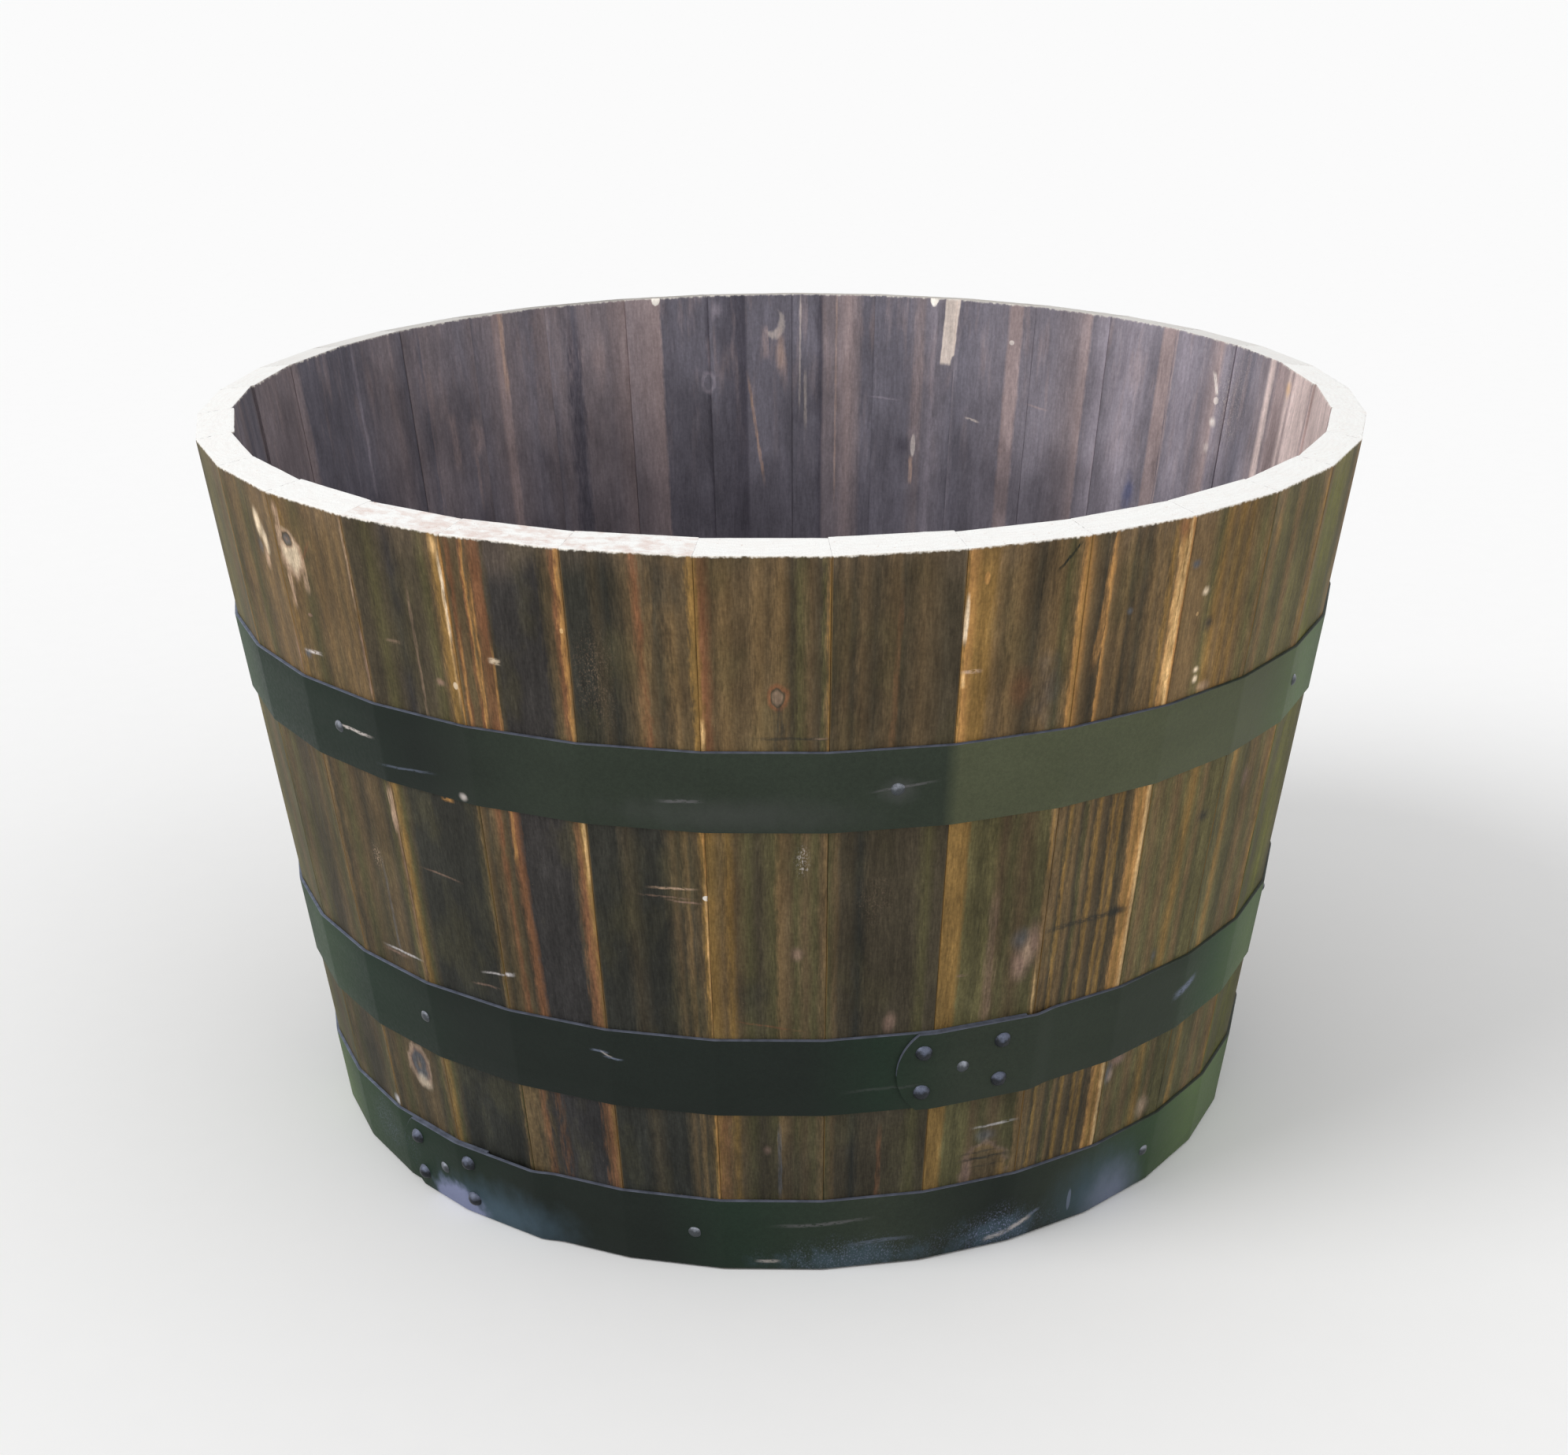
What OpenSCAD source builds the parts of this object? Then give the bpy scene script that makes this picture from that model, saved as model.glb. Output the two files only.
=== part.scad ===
// Wooden barrel planter: tapered staves held by three riveted steel hoops, with a
// boarded head let into a groove above the foot.
// +Z is up, the staves stand on Z = 0 and the front faces -Y. Angles round the tub
// are in degrees from the front, positive towards +X. All lengths are millimetres.

/* [Tub] */
// Diameter across the stave corners at the rim
rim_diameter = 640; // [590:1:700]
// Diameter across the stave corners at the foot
foot_diameter = 529; // [490:1:560]
// Height of the rim's outer edge
rim_height = 397.3; // [350:0.1:450]

/* [Staves] */
// Number of staves
stave_count = 33; // [28:1:38]
// Thickness of a stave
stave_thickness = 20; // [16:0.5:26]
// Angle of the stave nearest the front
front_stave_angle = -1.5; // [-5:0.25:5]

/* [Head] */
// Height of the groove that holds the head
croze_rise = 32; // [24:0.5:44]
// Depth of the groove into the staves
croze_depth = 6; // [4:0.5:8]
// Thickness of the head boards
head_thickness = 18; // [14:0.5:22]
// Number of head boards
head_board_count = 6; // [5:1:8]
// Play of the head in its groove, above it and round it
head_clearance = 0.3; // [0.2:0.05:0.6]

/* [Head dowels] */
// Diameter of the dowels that join the head boards
dowel_diameter = 8; // [6:0.5:10]
// Length of a dowel
dowel_length = 40; // [30:1:48]
// Distance between the two dowels of one joint
dowel_spacing = 140; // [100:1:180]
// Play round a dowel
dowel_clearance = 0.1; // [0.05:0.05:0.3]

/* [Drain holes] */
// Diameter of a drain hole
drain_diameter = 16; // [10:0.5:20]
// Distance between the two drain holes of one board
drain_spacing = 240; // [220:1:280]

/* [Hoops] */
// Thickness of the hoop strip
hoop_thickness = 1.5; // [1:0.1:2.5]
// Width of the top hoop
top_hoop_width = 42.5; // [34:0.5:52]
// Width of the middle hoop
middle_hoop_width = 45.5; // [36:0.5:54]
// Width of the bottom hoop
bottom_hoop_width = 44; // [36:0.5:54]
// Distance down the staves from the rim to the top hoop
top_hoop_drop = 97; // [60:1:130]
// Distance up the staves from the foot to the middle hoop
middle_hoop_rise = 99; // [85:1:115]
// Distance up the staves from the foot to the bottom hoop
bottom_hoop_rise = 1.2; // [1:0.1:10]

/* [Hoop laps] */
// Angle of the top hoop's lap
top_lap_angle = 163; // [155:0.5:170]
// Angle of the middle hoop's lap
middle_lap_angle = 18; // [10:0.5:26]
// Angle of the bottom hoop's lap
bottom_lap_angle = -42.5; // [-50:0.5:-35]
// Length of strip that lies double
lap_length = 67; // [62:1:76]
// Radius of the rounded outer end of the strip
lap_end_radius = 30; // [28:0.5:60]
// Play between the two layers of a lap
lap_clearance = 0.2; // [0.1:0.05:0.5]
// Length over which the strip comes back down to the wood
lap_ramp = 14; // [8:1:20]

/* [Rivets] */
// Diameter of a rivet's domed head
rivet_head_diameter = 8.5; // [7:0.1:10]
// Height of a rivet's domed head
rivet_head_height = 3.2; // [2:0.1:3.5]
// Diameter of a rivet's shank
rivet_shank_diameter = 4; // [3:0.1:5]
// Distance between rivets along the hoop
rivet_spacing_along = 41; // [36:0.5:46]
// Distance between rivets across the hoop
rivet_spacing_across = 23.5; // [18:0.5:25]
// Play round a rivet's shank
rivet_clearance = 0.1; // [0.05:0.05:0.3]

/* [Hoop nails] */
// Diameter of a nail's head
nail_head_diameter = 6.5; // [5:0.1:8]
// Height of a nail's low domed head
nail_head_height = 1.5; // [1:0.1:2]
// Diameter of a nail's shank
nail_shank_diameter = 3; // [2:0.1:3.6]
// Length of a nail under its head
nail_length = 16; // [12:0.5:17]
// Length of a nail's point
nail_point_length = 4; // [2:0.5:6]
// Play round a nail's shank
nail_clearance = 0.1; // [0.05:0.05:0.3]

/* [Hidden] */
$fn = 48;

HOOPS = ["top", "middle", "bottom"];

// Steps of the rounded end of a strip
lap_end_steps = 6;
// Angles of each hoop's nails: one in its lap, then the others round the tub
nail_angles = [
    [top_lap_angle, -46, 10, 60, 116, 217, 268],
    [middle_lap_angle, -41, 78, 139, 197, 258],
    [bottom_lap_angle, -10, 46, 105, 165, 218, 272]
];

wood_colours = ["#57452a", "#40391f", "#5e4626", "#665225", "#4a4025", "#4d3420", "#45361f"];
hoop_colour = "#26332b";
fastener_colour = "#4a515c";
head_colour = "#4b3a30";
dowel_colour = "#b08d5b";

full_turn = 360;
pitch = full_turn / stave_count;
rim_apothem = rim_diameter / 2 * cos(pitch / 2);
foot_apothem = foot_diameter / 2 * cos(pitch / 2);
taper = atan((rim_apothem - foot_apothem) / rim_height);
slope_length = rim_height / cos(taper);
far = rim_diameter;

croze_top = croze_rise + head_thickness + head_clearance;
croze_floor = inner_face(croze_rise) + croze_depth;
head_radius = croze_floor - head_clearance;
head_board_width = 2 * head_radius / head_board_count;
dowel_height = croze_rise + head_thickness / 2;

lap_angles = [top_lap_angle, middle_lap_angle, bottom_lap_angle];
hoop_widths = [top_hoop_width, middle_hoop_width, bottom_hoop_width];
hoop_middles = [
    slope_length - top_hoop_drop - top_hoop_width / 2,
    middle_hoop_rise + middle_hoop_width / 2,
    bottom_hoop_rise + bottom_hoop_width / 2
];
lap_lift = hoop_thickness + lap_clearance;

stave_profile = [
    on_slope(0, 0),
    on_slope(slope_length, 0),
    on_slope(slope_length, -stave_thickness),
    [inner_face(croze_top), croze_top],
    [croze_floor, croze_top],
    [croze_floor, croze_rise],
    [inner_face(croze_rise), croze_rise],
    [inner_face(0), 0]
];

function stave_name(i) = str("stave_", i < 10 ? "0" : "", i);
function head_board_name(b) = str("head_board_", b);
function stave_angle(i) = front_stave_angle + (i - 1) * pitch;

// Steps from the front stave to the stave at an angle, its middle, and the joint after it
function stave_steps(angle) = round((angle - front_stave_angle) / pitch);
function nearest_stave_angle(angle) = front_stave_angle + stave_steps(angle) * pitch;
function joint_angle(step) = front_stave_angle + (step + 0.5) * pitch;

// Point on a stave's mid-line as [distance from the axis, height], from its distance
// up the outer face and its distance out from it
function on_slope(up, out) = [
    foot_apothem + up * sin(taper) + out * cos(taper),
    up * cos(taper) - out * sin(taper)
];

// Distance of a stave's inner face from the axis at a height
function inner_face(height) = foot_apothem + height * tan(taper) - stave_thickness / cos(taper);

// Angle that a distance along the hoop spans, at a distance up the staves
function span_angle(length, up) = asin(length / on_slope(up, 0)[0]);

// Turns +X towards an angle round the tub
module facing(angle) {
    rotate([0, 0, angle - 90]) children();
}

// Stands +Z outwards on the nearest stave's face, or a lift above it
module on_face(angle, up, lift) {
    stave = nearest_stave_angle(angle);
    place = on_slope(up, lift);
    facing(stave)
        translate([place[0], on_slope(up, 0)[0] * tan(angle - stave), place[1]])
            rotate([0, 90 + taper, 0])
                children();
}

// The wedge between a stave's two joint planes
module sector() {
    edge = far * tan(pitch / 2);
    translate([0, 0, -far / 2])
        linear_extrude(height = 2 * far)
            polygon([[0, 0], [far, -edge], [far, edge]]);
}

// A profile of a stave or strip, as wide as the stave's sector
module across_sector(profile) {
    intersection() {
        rotate([90, 0, 0])
            linear_extrude(height = far / 2, center = true)
                polygon(profile);
        sector();
    }
}

module domed_head(diameter, height) {
    ball_radius = (diameter * diameter / 4 + height * height) / (2 * height);
    intersection() {
        translate([0, 0, height - ball_radius]) sphere(r = ball_radius);
        cylinder(d = diameter, h = height);
    }
}

module stave(i) {
    color(wood_colours[(i * 3) % len(wood_colours)])
        difference() {
            facing(stave_angle(i)) across_sector(stave_profile);
            nail_holes_near(stave_angle(i));
        }
}

// Holes of the nails whose angle is on a stave or close beside it
module nail_holes_near(stave) {
    reach = cos(pitch / 2 + span_angle(nail_shank_diameter, 0));
    for (h = [0:2])
        for (angle = nail_angles[h])
            if (cos(angle - stave) > reach)
                on_face(angle, hoop_middles[h], 0) nail_hole();
}

module nail_hole() {
    depth = nail_length - hoop_thickness + nail_clearance;
    translate([0, 0, -depth])
        cylinder(d = nail_shank_diameter + 2 * nail_clearance, h = depth + 2 * lap_lift);
}

module nail() {
    domed_head(nail_head_diameter, nail_head_height);
    translate([0, 0, nail_point_length - nail_length])
        cylinder(d = nail_shank_diameter, h = nail_length - nail_point_length);
    translate([0, 0, -nail_length])
        cylinder(d1 = 0, d2 = nail_shank_diameter, h = nail_point_length);
}

module hoop_nails(h) {
    color(fastener_colour)
        for (angle = nail_angles[h])
            on_face(angle, hoop_middles[h], hoop_thickness + (angle == lap_angles[h] ? lap_lift : 0))
                nail();
}

module rivet() {
    grip = hoop_thickness + lap_lift;
    domed_head(rivet_head_diameter, rivet_head_height);
    translate([0, 0, -grip]) cylinder(d = rivet_shank_diameter, h = grip);
}

// Puts a child at each of the four rivets of a lap
module at_rivets(h, lift) {
    for (side = [-1, 1], edge = [-1, 1])
        on_face(
            lap_angles[h] + side * span_angle(rivet_spacing_along / 2, hoop_middles[h]),
            hoop_middles[h] + edge * rivet_spacing_across / 2,
            lift
        )
            children();
}

module lap_rivets(h) {
    color(fastener_colour) at_rivets(h, hoop_thickness + lap_lift) rivet();
}

module rivet_hole() {
    grip = hoop_thickness + lap_lift;
    translate([0, 0, -grip]) cylinder(d = rivet_shank_diameter + 2 * rivet_clearance, h = 3 * grip);
}

// A hoop is one strip, bent flat onto each stave. Its inner end lies on the wood under
// its rounded outer end, and between them it runs once round the tub. It is swept
// through stations, each one an angle, a lift off the wood and half the strip's width.
module hoop(h) {
    color(hoop_colour)
        difference() {
            strip(hoop_middles[h], hoop_stations(hoop_middles[h], hoop_widths[h], lap_angles[h]));
            at_rivets(h, 0) rivet_hole();
            for (angle = nail_angles[h]) on_face(angle, hoop_middles[h], 0) nail_hole();
        }
}

function hoop_stations(middle, width, lap_angle) =
    let (
        inner_end = lap_angle + span_angle(lap_length / 2, middle),
        outer_end = lap_angle - span_angle(lap_length / 2, middle) - full_turn,
        first = stave_steps(inner_end),
        last = first - stave_count,
        half = width / 2,
        sweep = asin(half / lap_end_radius)
    )
    concat(
        [[inner_end, 0, half]],
        [for (step = [first - 1:-1:last + 1]) [joint_angle(step), 0, half]],
        [[joint_angle(last) + span_angle(lap_ramp, middle), 0, half]],
        [
            for (step = [last:-1:stave_steps(outer_end)])
                each concat(
                    [[joint_angle(step), lap_lift, half]],
                    [
                        for (turn = [sweep:-sweep / lap_end_steps:0])
                            let (station = lap_end_station(middle, outer_end, turn))
                                if (joint_angle(step - 1) < station[0] && station[0] < joint_angle(step))
                                    station
                    ]
                )
        ]
    );

// Station on the rounded outer end, at a turn of its arc from the tip
function lap_end_station(middle, outer_end, turn) = [
    outer_end + span_angle(lap_end_radius * (1 - cos(turn)), middle),
    lap_lift,
    max(lap_end_radius * sin(turn), hoop_thickness)
];

// Point on a strip that follows the staves' flat faces
function strip_point(angle, up, out) =
    let (
        place = on_slope(up, out),
        radius = place[0] / cos(angle - nearest_stave_angle(angle))
    )
    [radius * sin(angle), -radius * cos(angle), place[1]];

module strip(middle, stations) {
    last = len(stations) - 1;
    points = [
        for (s = stations, corner = [[-1, 0], [1, 0], [1, 1], [-1, 1]])
            strip_point(s[0], middle + corner[0] * s[2], s[1] + corner[1] * hoop_thickness)
    ];
    sides = [
        for (i = [0:last - 1], k = [0:3])
            let (a = 4 * i + k, b = 4 * i + (k + 1) % 4)
                each [[a, b, b + 4], [a, b + 4, a + 4]]
    ];
    ends = [[3, 2, 1], [3, 1, 0], [4 * last, 4 * last + 1, 4 * last + 2], [4 * last, 4 * last + 2, 4 * last + 3]];
    polyhedron(points, concat(sides, ends));
}

module head_board(b) {
    color(head_colour)
        difference() {
            intersection() {
                translate([0, 0, croze_rise]) cylinder(r = head_radius, h = head_thickness, $fn = 180);
                translate([(b - 1) * head_board_width - head_radius, -far / 2, croze_rise])
                    cube([head_board_width, far, head_thickness]);
            }
            at_dowels()
                rotate([0, 90, 0])
                    cylinder(
                        d = dowel_diameter + 2 * dowel_clearance,
                        h = dowel_length + 2 * dowel_clearance,
                        center = true
                    );
            drain_holes();
        }
}

// Puts a child at each dowel of the head
module at_dowels() {
    for (joint = [1:head_board_count - 1], side = [-1, 1])
        translate([joint * head_board_width - head_radius, side * dowel_spacing / 2, dowel_height])
            children();
}

module head_dowels() {
    color(dowel_colour)
        at_dowels() rotate([0, 90, 0]) cylinder(d = dowel_diameter, h = dowel_length, center = true);
}

// Two holes in each board next to an outermost one
module drain_holes() {
    board_middle = head_radius - 1.5 * head_board_width;
    for (x = [-1, 1] * board_middle, y = [-1, 1] * drain_spacing / 2)
        translate([x, y, croze_rise - head_thickness / 2])
            cylinder(d = drain_diameter, h = 2 * head_thickness);
}

for (i = [1:stave_count])
    stave(i);
for (b = [1:head_board_count])
    head_board(b);
head_dowels();
for (h = [0:2]) {
    hoop(h);
    lap_rivets(h);
    hoop_nails(h);
}
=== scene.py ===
"""Looks of the wooden barrel planter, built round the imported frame.

Lengths in this file are millimetres, turned to metres where a mesh, bump or camera is made.
+Z is up and the front faces -Y. Angles round the tub are degrees from the front, towards +X.
"""
import math
import random

import bmesh
import bpy
from mathutils import Matrix, Vector, noise


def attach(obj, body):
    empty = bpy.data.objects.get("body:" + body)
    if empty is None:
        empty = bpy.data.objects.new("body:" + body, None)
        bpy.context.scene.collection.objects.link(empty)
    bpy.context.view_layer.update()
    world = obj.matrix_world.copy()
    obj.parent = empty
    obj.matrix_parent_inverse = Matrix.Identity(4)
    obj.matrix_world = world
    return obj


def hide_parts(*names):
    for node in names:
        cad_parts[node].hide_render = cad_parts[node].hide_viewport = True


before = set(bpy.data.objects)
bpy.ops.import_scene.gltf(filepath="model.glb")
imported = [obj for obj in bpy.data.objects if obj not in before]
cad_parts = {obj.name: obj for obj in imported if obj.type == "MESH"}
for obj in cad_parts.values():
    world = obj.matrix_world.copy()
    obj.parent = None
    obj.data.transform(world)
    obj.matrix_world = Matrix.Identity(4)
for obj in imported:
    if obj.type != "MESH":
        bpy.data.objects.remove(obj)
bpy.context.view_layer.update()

MM = 0.001

# ---- Sizes of the tub

STAVE_COUNT = 33
PITCH = 360 / STAVE_COUNT
HALF_PITCH = math.radians(PITCH / 2)
FRONT_ANGLE = -1.5
RIM_RADIUS, FOOT_RADIUS = 320, 264.5
RIM_APOTHEM = RIM_RADIUS * math.cos(HALF_PITCH)
FOOT_APOTHEM = FOOT_RADIUS * math.cos(HALF_PITCH)
RIM_HEIGHT = 397.3
THICKNESS = 20
TAPER = math.atan((RIM_APOTHEM - FOOT_APOTHEM) / RIM_HEIGHT)
SLOPE = RIM_HEIGHT / math.cos(TAPER)

GROOVE_LOW, GROOVE_HIGH, GROOVE_DEPTH = 32, 50.3, 6

HOOP_THICKNESS = 1.5
LAP_LIFT = 1.7
LAP_LENGTH = 67
LAP_RAMP = 14
LAP_END_RADIUS = 30
RIVET_ALONG, RIVET_ACROSS = 41, 23.5
# name: (middle up the slope, width, angle of the lap, angles of the other nails)
HOOPS = {
    "top": (SLOPE - 97 - 42.5 / 2, 42.5, 163, (-46, 10, 60, 116, 217, 268)),
    "middle": (99 + 45.5 / 2, 45.5, 18, (-41, 78, 139, 197, 258)),
    "bottom": (1.2 + 44 / 2, 44, -42.5, (-10, 46, 105, 165, 218, 272)),
}


def stave_angle(number):
    return FRONT_ANGLE + (number - 1) * PITCH


def stave_steps(angle):
    return round((angle - FRONT_ANGLE) / PITCH)


def nearest_stave_angle(angle):
    return FRONT_ANGLE + stave_steps(angle) * PITCH


def joint_angle(step):
    return FRONT_ANGLE + (step + 0.5) * PITCH


def on_slope(up, out):
    """Distance from the axis and height of a point up the outer face and out from it."""
    return (
        FOOT_APOTHEM + up * math.sin(TAPER) + out * math.cos(TAPER),
        up * math.cos(TAPER) - out * math.sin(TAPER),
    )


def outer_face(height):
    return FOOT_APOTHEM + height * math.tan(TAPER)


def inner_face(height):
    return outer_face(height) - THICKNESS / math.cos(TAPER)


def span_angle(length, up):
    return math.degrees(math.asin(length / on_slope(up, 0)[0]))


def ring_point(angle, across, radius, height):
    """Point at a distance out along an angle, and across it towards larger angles."""
    c, s = math.cos(math.radians(angle)), math.sin(math.radians(angle))
    return (radius * s + across * c, across * s - radius * c, height)


# ---- Colours


def table(text):
    """The rows of a text as lists of words and numbers, without its comment lines."""
    return [
        [word if word[0].isalpha() else float(word) for word in line.split()]
        for line in text.strip().splitlines()
        if line[0] != "#"
    ]


# Name and sRGB parts from 0 to 255
COLOURS = {name: parts for name, *parts in table("""
# Outside of the staves
pitch 50 49 43
plum 53 50 48
umber 70 62 48
brown 92 76 54
tan 114 92 62
olive 82 76 50
moss 98 90 58
lichen 94 91 42
gold 134 104 58
amber 176 130 76
rust 120 82 56
cream 216 176 122
rose 136 110 94
dust 126 106 88
blond 186 156 130
halo 228 206 176
raw 246 240 230
bone 212 202 196
slate 94 93 94
dry 255 255 255
damp 222 230 240
# Inside of the staves
shadow 75 72 81
ink 102 99 108
ash 117 112 120
lilac 136 129 138
mouse 122 113 117
blush 148 132 132
bleached 214 200 190
shell 190 172 168
clay 190 160 144
fawn 164 136 120
indigo 60 72 110
# Sawn ends of the staves
chalk 255 255 253
pumice 193 189 183
buff 226 200 190
brick 196 150 128
# Hoops
soot 30 36 32
bottle 33 47 37
pine 47 54 45
fern 52 69 50
ivy 76 80 60
grass 82 99 66
steel 80 84 96
mist 104 112 130
teal 66 84 96
haze 126 132 162
# Rivets, nails, head and floor
rivet_dark 34 37 42
rivet_light 96 102 120
nail_dark 66 70 74
nail_light 148 152 162
head_dark 88 76 69
head_light 122 102 86
dowel_dark 150 118 78
dowel_light 196 164 118
floor_dark 249 249 249
floor_light 251 251 251
""")}


def linear(name):
    """A colour as the linear RGBA that a node takes."""
    parts = [c / 255 for c in COLOURS[name]]
    return tuple(c / 12.92 if c <= 0.04045 else ((c + 0.055) / 1.055) ** 2.4 for c in parts) + (1,)


def stops(text, low=0, high=100):
    """A ramp's stops, written as 'place tone place tone ...' with places from low to high."""
    words = text.split()
    return [((float(place) - low) / (high - low), tone) for place, tone in zip(words[::2], words[1::2])]


def stops_between(text, low, high):
    """The stops that matter to a stretch, with the nearest one beyond each of its ends."""
    places = stops(text, low, high)
    first = max((k for k, (place, _) in enumerate(places) if place <= 0), default=0)
    last = min((k for k, (place, _) in enumerate(places) if place >= 1), default=len(places) - 1)
    return [(min(max(place, 0), 1), tone) for place, tone in places[first:last + 1]]


# The tones of each kind of knot, from its middle (0) to its edge (100)
KNOTS = {
    "red": "0 dust 30 dust 50 umber 66 rust 88 rust 100 brown",
    "ringed": "0 slate 35 slate 50 dust 65 blond 85 blond 100 brown",
    "torn": "0 rose 30 slate 55 blond 80 slate 100 brown",
    "pale": "0 halo 45 halo 75 blond 100 tan",
    "eye": "0 rose 35 slate 60 umber 78 blond 100 halo",
    "grey": "0 dust 25 slate 45 slate 62 rose 80 blond 92 blond 100 brown",
    "broad": "0 brown 45 brown 66 tan 84 rose 100 brown",
    # A painted reflection, laid on the bottom hoop as an oval
    "blue": "0 haze 60 haze 100 teal",
}

# ---- Node trees


class Value:
    """A number that a node tree works out, so that its formulas read as arithmetic."""

    def __init__(self, graph, socket):
        self.graph, self.socket = graph, socket

    def __add__(self, other):
        return self.graph.math("ADD", self, other)

    def __sub__(self, other):
        return self.graph.math("SUBTRACT", self, other)

    def __rsub__(self, other):
        return self.graph.math("SUBTRACT", other, self)

    def __mul__(self, other):
        return self.graph.math("MULTIPLY", self, other)

    def __truediv__(self, other):
        return self.graph.math("DIVIDE", self, other)

    def __abs__(self):
        return self.graph.math("ABSOLUTE", self)

    def spread(self, low, high, to_low, to_high, kind="LINEAR"):
        """Low to high spread over another stretch, and held at its ends beyond them."""
        ends = {"From Min": low, "From Max": high, "To Min": to_low, "To Max": to_high}
        return self.graph.value("ShaderNodeMapRange", {"Value": self, **ends}, interpolation_type=kind)

    def smooth(self, low, high):
        """0 below low and 1 above high, with a soft step between them (or the reverse)."""
        return self.spread(low, high, 0, 1, "SMOOTHSTEP")

    def contrast(self, amount):
        """Noise as a factor round 1."""
        return self.spread(0.3, 0.7, 1 - amount, 1 + amount)

    def near(self, middle, reach, soft):
        """1 within reach of a middle, falling to 0 over the soft distance beyond it."""
        return abs(self - middle).smooth(reach + soft, reach)


class Nodes:
    """A node tree, and short ways to add to it."""

    def __init__(self, tree):
        self.tree = tree

    def feed(self, node, inputs):
        """Links or sets some of a node's inputs."""
        for key, value in inputs.items():
            value = value.socket if isinstance(value, Value) else value
            if isinstance(value, bpy.types.NodeSocket):
                self.tree.links.new(value, node.inputs[key])
            else:
                node.inputs[key].default_value = value

    def node(self, kind, inputs, **settings):
        node = self.tree.nodes.new(kind)
        for key, value in settings.items():
            setattr(node, key, value)
        self.feed(node, inputs)
        return node

    def value(self, kind, inputs, **settings):
        return Value(self, self.node(kind, inputs, **settings).outputs[0])

    def math(self, operation, *values):
        return self.value("ShaderNodeMath", dict(enumerate(values)), operation=operation)


class Graph(Nodes):
    """A material's nodes. Its vector is the object's own position in millimetres, turned
    so that x runs across the face at an angle, y towards the axis and z up."""

    def __init__(self, name, angle=0, seed=0):
        self.material = bpy.data.materials.new(name)
        self.material.use_nodes = True
        super().__init__(self.material.node_tree)
        self.seed = seed
        self.tree.nodes.clear()
        self.shader = self.node("ShaderNodeBsdfPrincipled", {})
        self.node("ShaderNodeOutputMaterial", {0: self.shader.outputs[0]})
        turned_place = self.node("ShaderNodeMapping", {
            "Vector": self.node("ShaderNodeTexCoord", {}).outputs["Object"],
            "Rotation": (0, 0, -math.radians(angle)),
            "Scale": (1 / MM,) * 3,
        }).outputs[0]
        self.x, self.y, self.z = self.split(turned_place)
        self.set_grain(turned_place)

    def set_grain(self, vector):
        """Makes noise follow a vector, and sets the fibres that break up long marks."""
        self.grain = vector
        self.fibres = self.noise((0.9, 0.9, 0.0015), 5, 3).spread(0.35, 0.65, 0.45, 1)

    def split(self, vector):
        return [Value(self, s) for s in self.node("ShaderNodeSeparateXYZ", {0: vector}).outputs]

    def noise(self, scale, seed=0, detail=2):
        """Noise from 0 to 1 with features of about 1 / scale millimetres along each axis."""
        seed = self.seed + seed
        place = self.node("ShaderNodeMapping", {
            "Vector": self.grain,
            "Scale": scale if isinstance(scale, tuple) else (scale,) * 3,
            "Location": (seed * 3.7, seed * 1.3, seed * 2.9),
        }).outputs[0]
        return self.value("ShaderNodeTexNoise", {"Vector": place, "Scale": 1, "Detail": detail})

    def ramp(self, value, tones):
        """The colour at a value from 0 to 1, with the stops as text or as (place, tone)."""
        node = self.node("ShaderNodeValToRGB", {0: value})
        tones = stops(tones) if isinstance(tones, str) else tones
        points = node.color_ramp.elements
        while len(points) < len(tones):
            points.new(0.5)
        for point, (position, _) in zip(points, tones):
            point.position = position
        for point, (_, tone) in zip(points, tones):
            point.color = linear(tone)
        return node.outputs[0]

    def blend(self, amount, first, second, mode="MIX"):
        """The first colour with an amount of the second. Each is a name or a socket."""
        first, second = [linear(c) if isinstance(c, str) else c for c in (first, second)]
        inputs = {0: amount, 6: first, 7: second}
        return self.node("ShaderNodeMix", inputs, data_type="RGBA", blend_type=mode).outputs[2]

    def shade(self, colour, tone):
        """A colour times a number."""
        grey = self.node("ShaderNodeCombineColor", {0: tone, 1: tone, 2: tone})
        return self.blend(1.0, colour, grey.outputs[0], "MULTIPLY")

    def oval(self, x, z, width, height, warp, uneven):
        """Distance from the middle of an oval (0) to its edge (1) and on, made uneven."""
        flat, tall = (self.x - x) / (width / 2), (self.z - z) / (height / 2)
        ripple = (self.noise(warp, x - z, 3) - 0.5) * uneven
        return self.math("SQRT", flat * flat + tall * tall) + ripple

    def knot(self, colour, x, z, width, height, kind, strength=0.9):
        """An oval mark, coloured from its middle to its edge and faded there."""
        distance = self.oval(x, z, width, height, (0.15, 0.15, 0.1), 0.8)
        return self.blend(distance.smooth(1.1, 0.6) * strength, colour, self.ramp(distance, KNOTS[kind]))

    def spot(self, colour, x, z, width, height, tone, strength=0.8):
        """A small mark with a clear edge."""
        distance = self.oval(x, z, width, height, (0.3, 0.3, 0.2), 0.5)
        return self.blend(distance.smooth(1.05, 0.75) * strength, colour, tone)

    def patch(self, colour, x, z, width, height, tone, strength=0.5, uneven=1.2):
        """A soft cloudy mark."""
        distance = self.oval(x, z, width, height, (0.12, 0.12, 0.08), uneven)
        return self.blend(distance.smooth(1.1, 0.0) * strength, colour, tone)

    def crackle(self, colour, x, z, width, height, tone, strength=0.5):
        """Fine dusty specks inside an oval."""
        distance = self.oval(x, z, width, height, (0.06, 0.06, 0.03), 1.2)
        specks = self.noise((1.3, 1.3, 0.9), x + z, 4).smooth(0.48, 0.75)
        return self.blend(distance.smooth(1.1, 0.0) * specks * strength, colour, tone)

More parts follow.
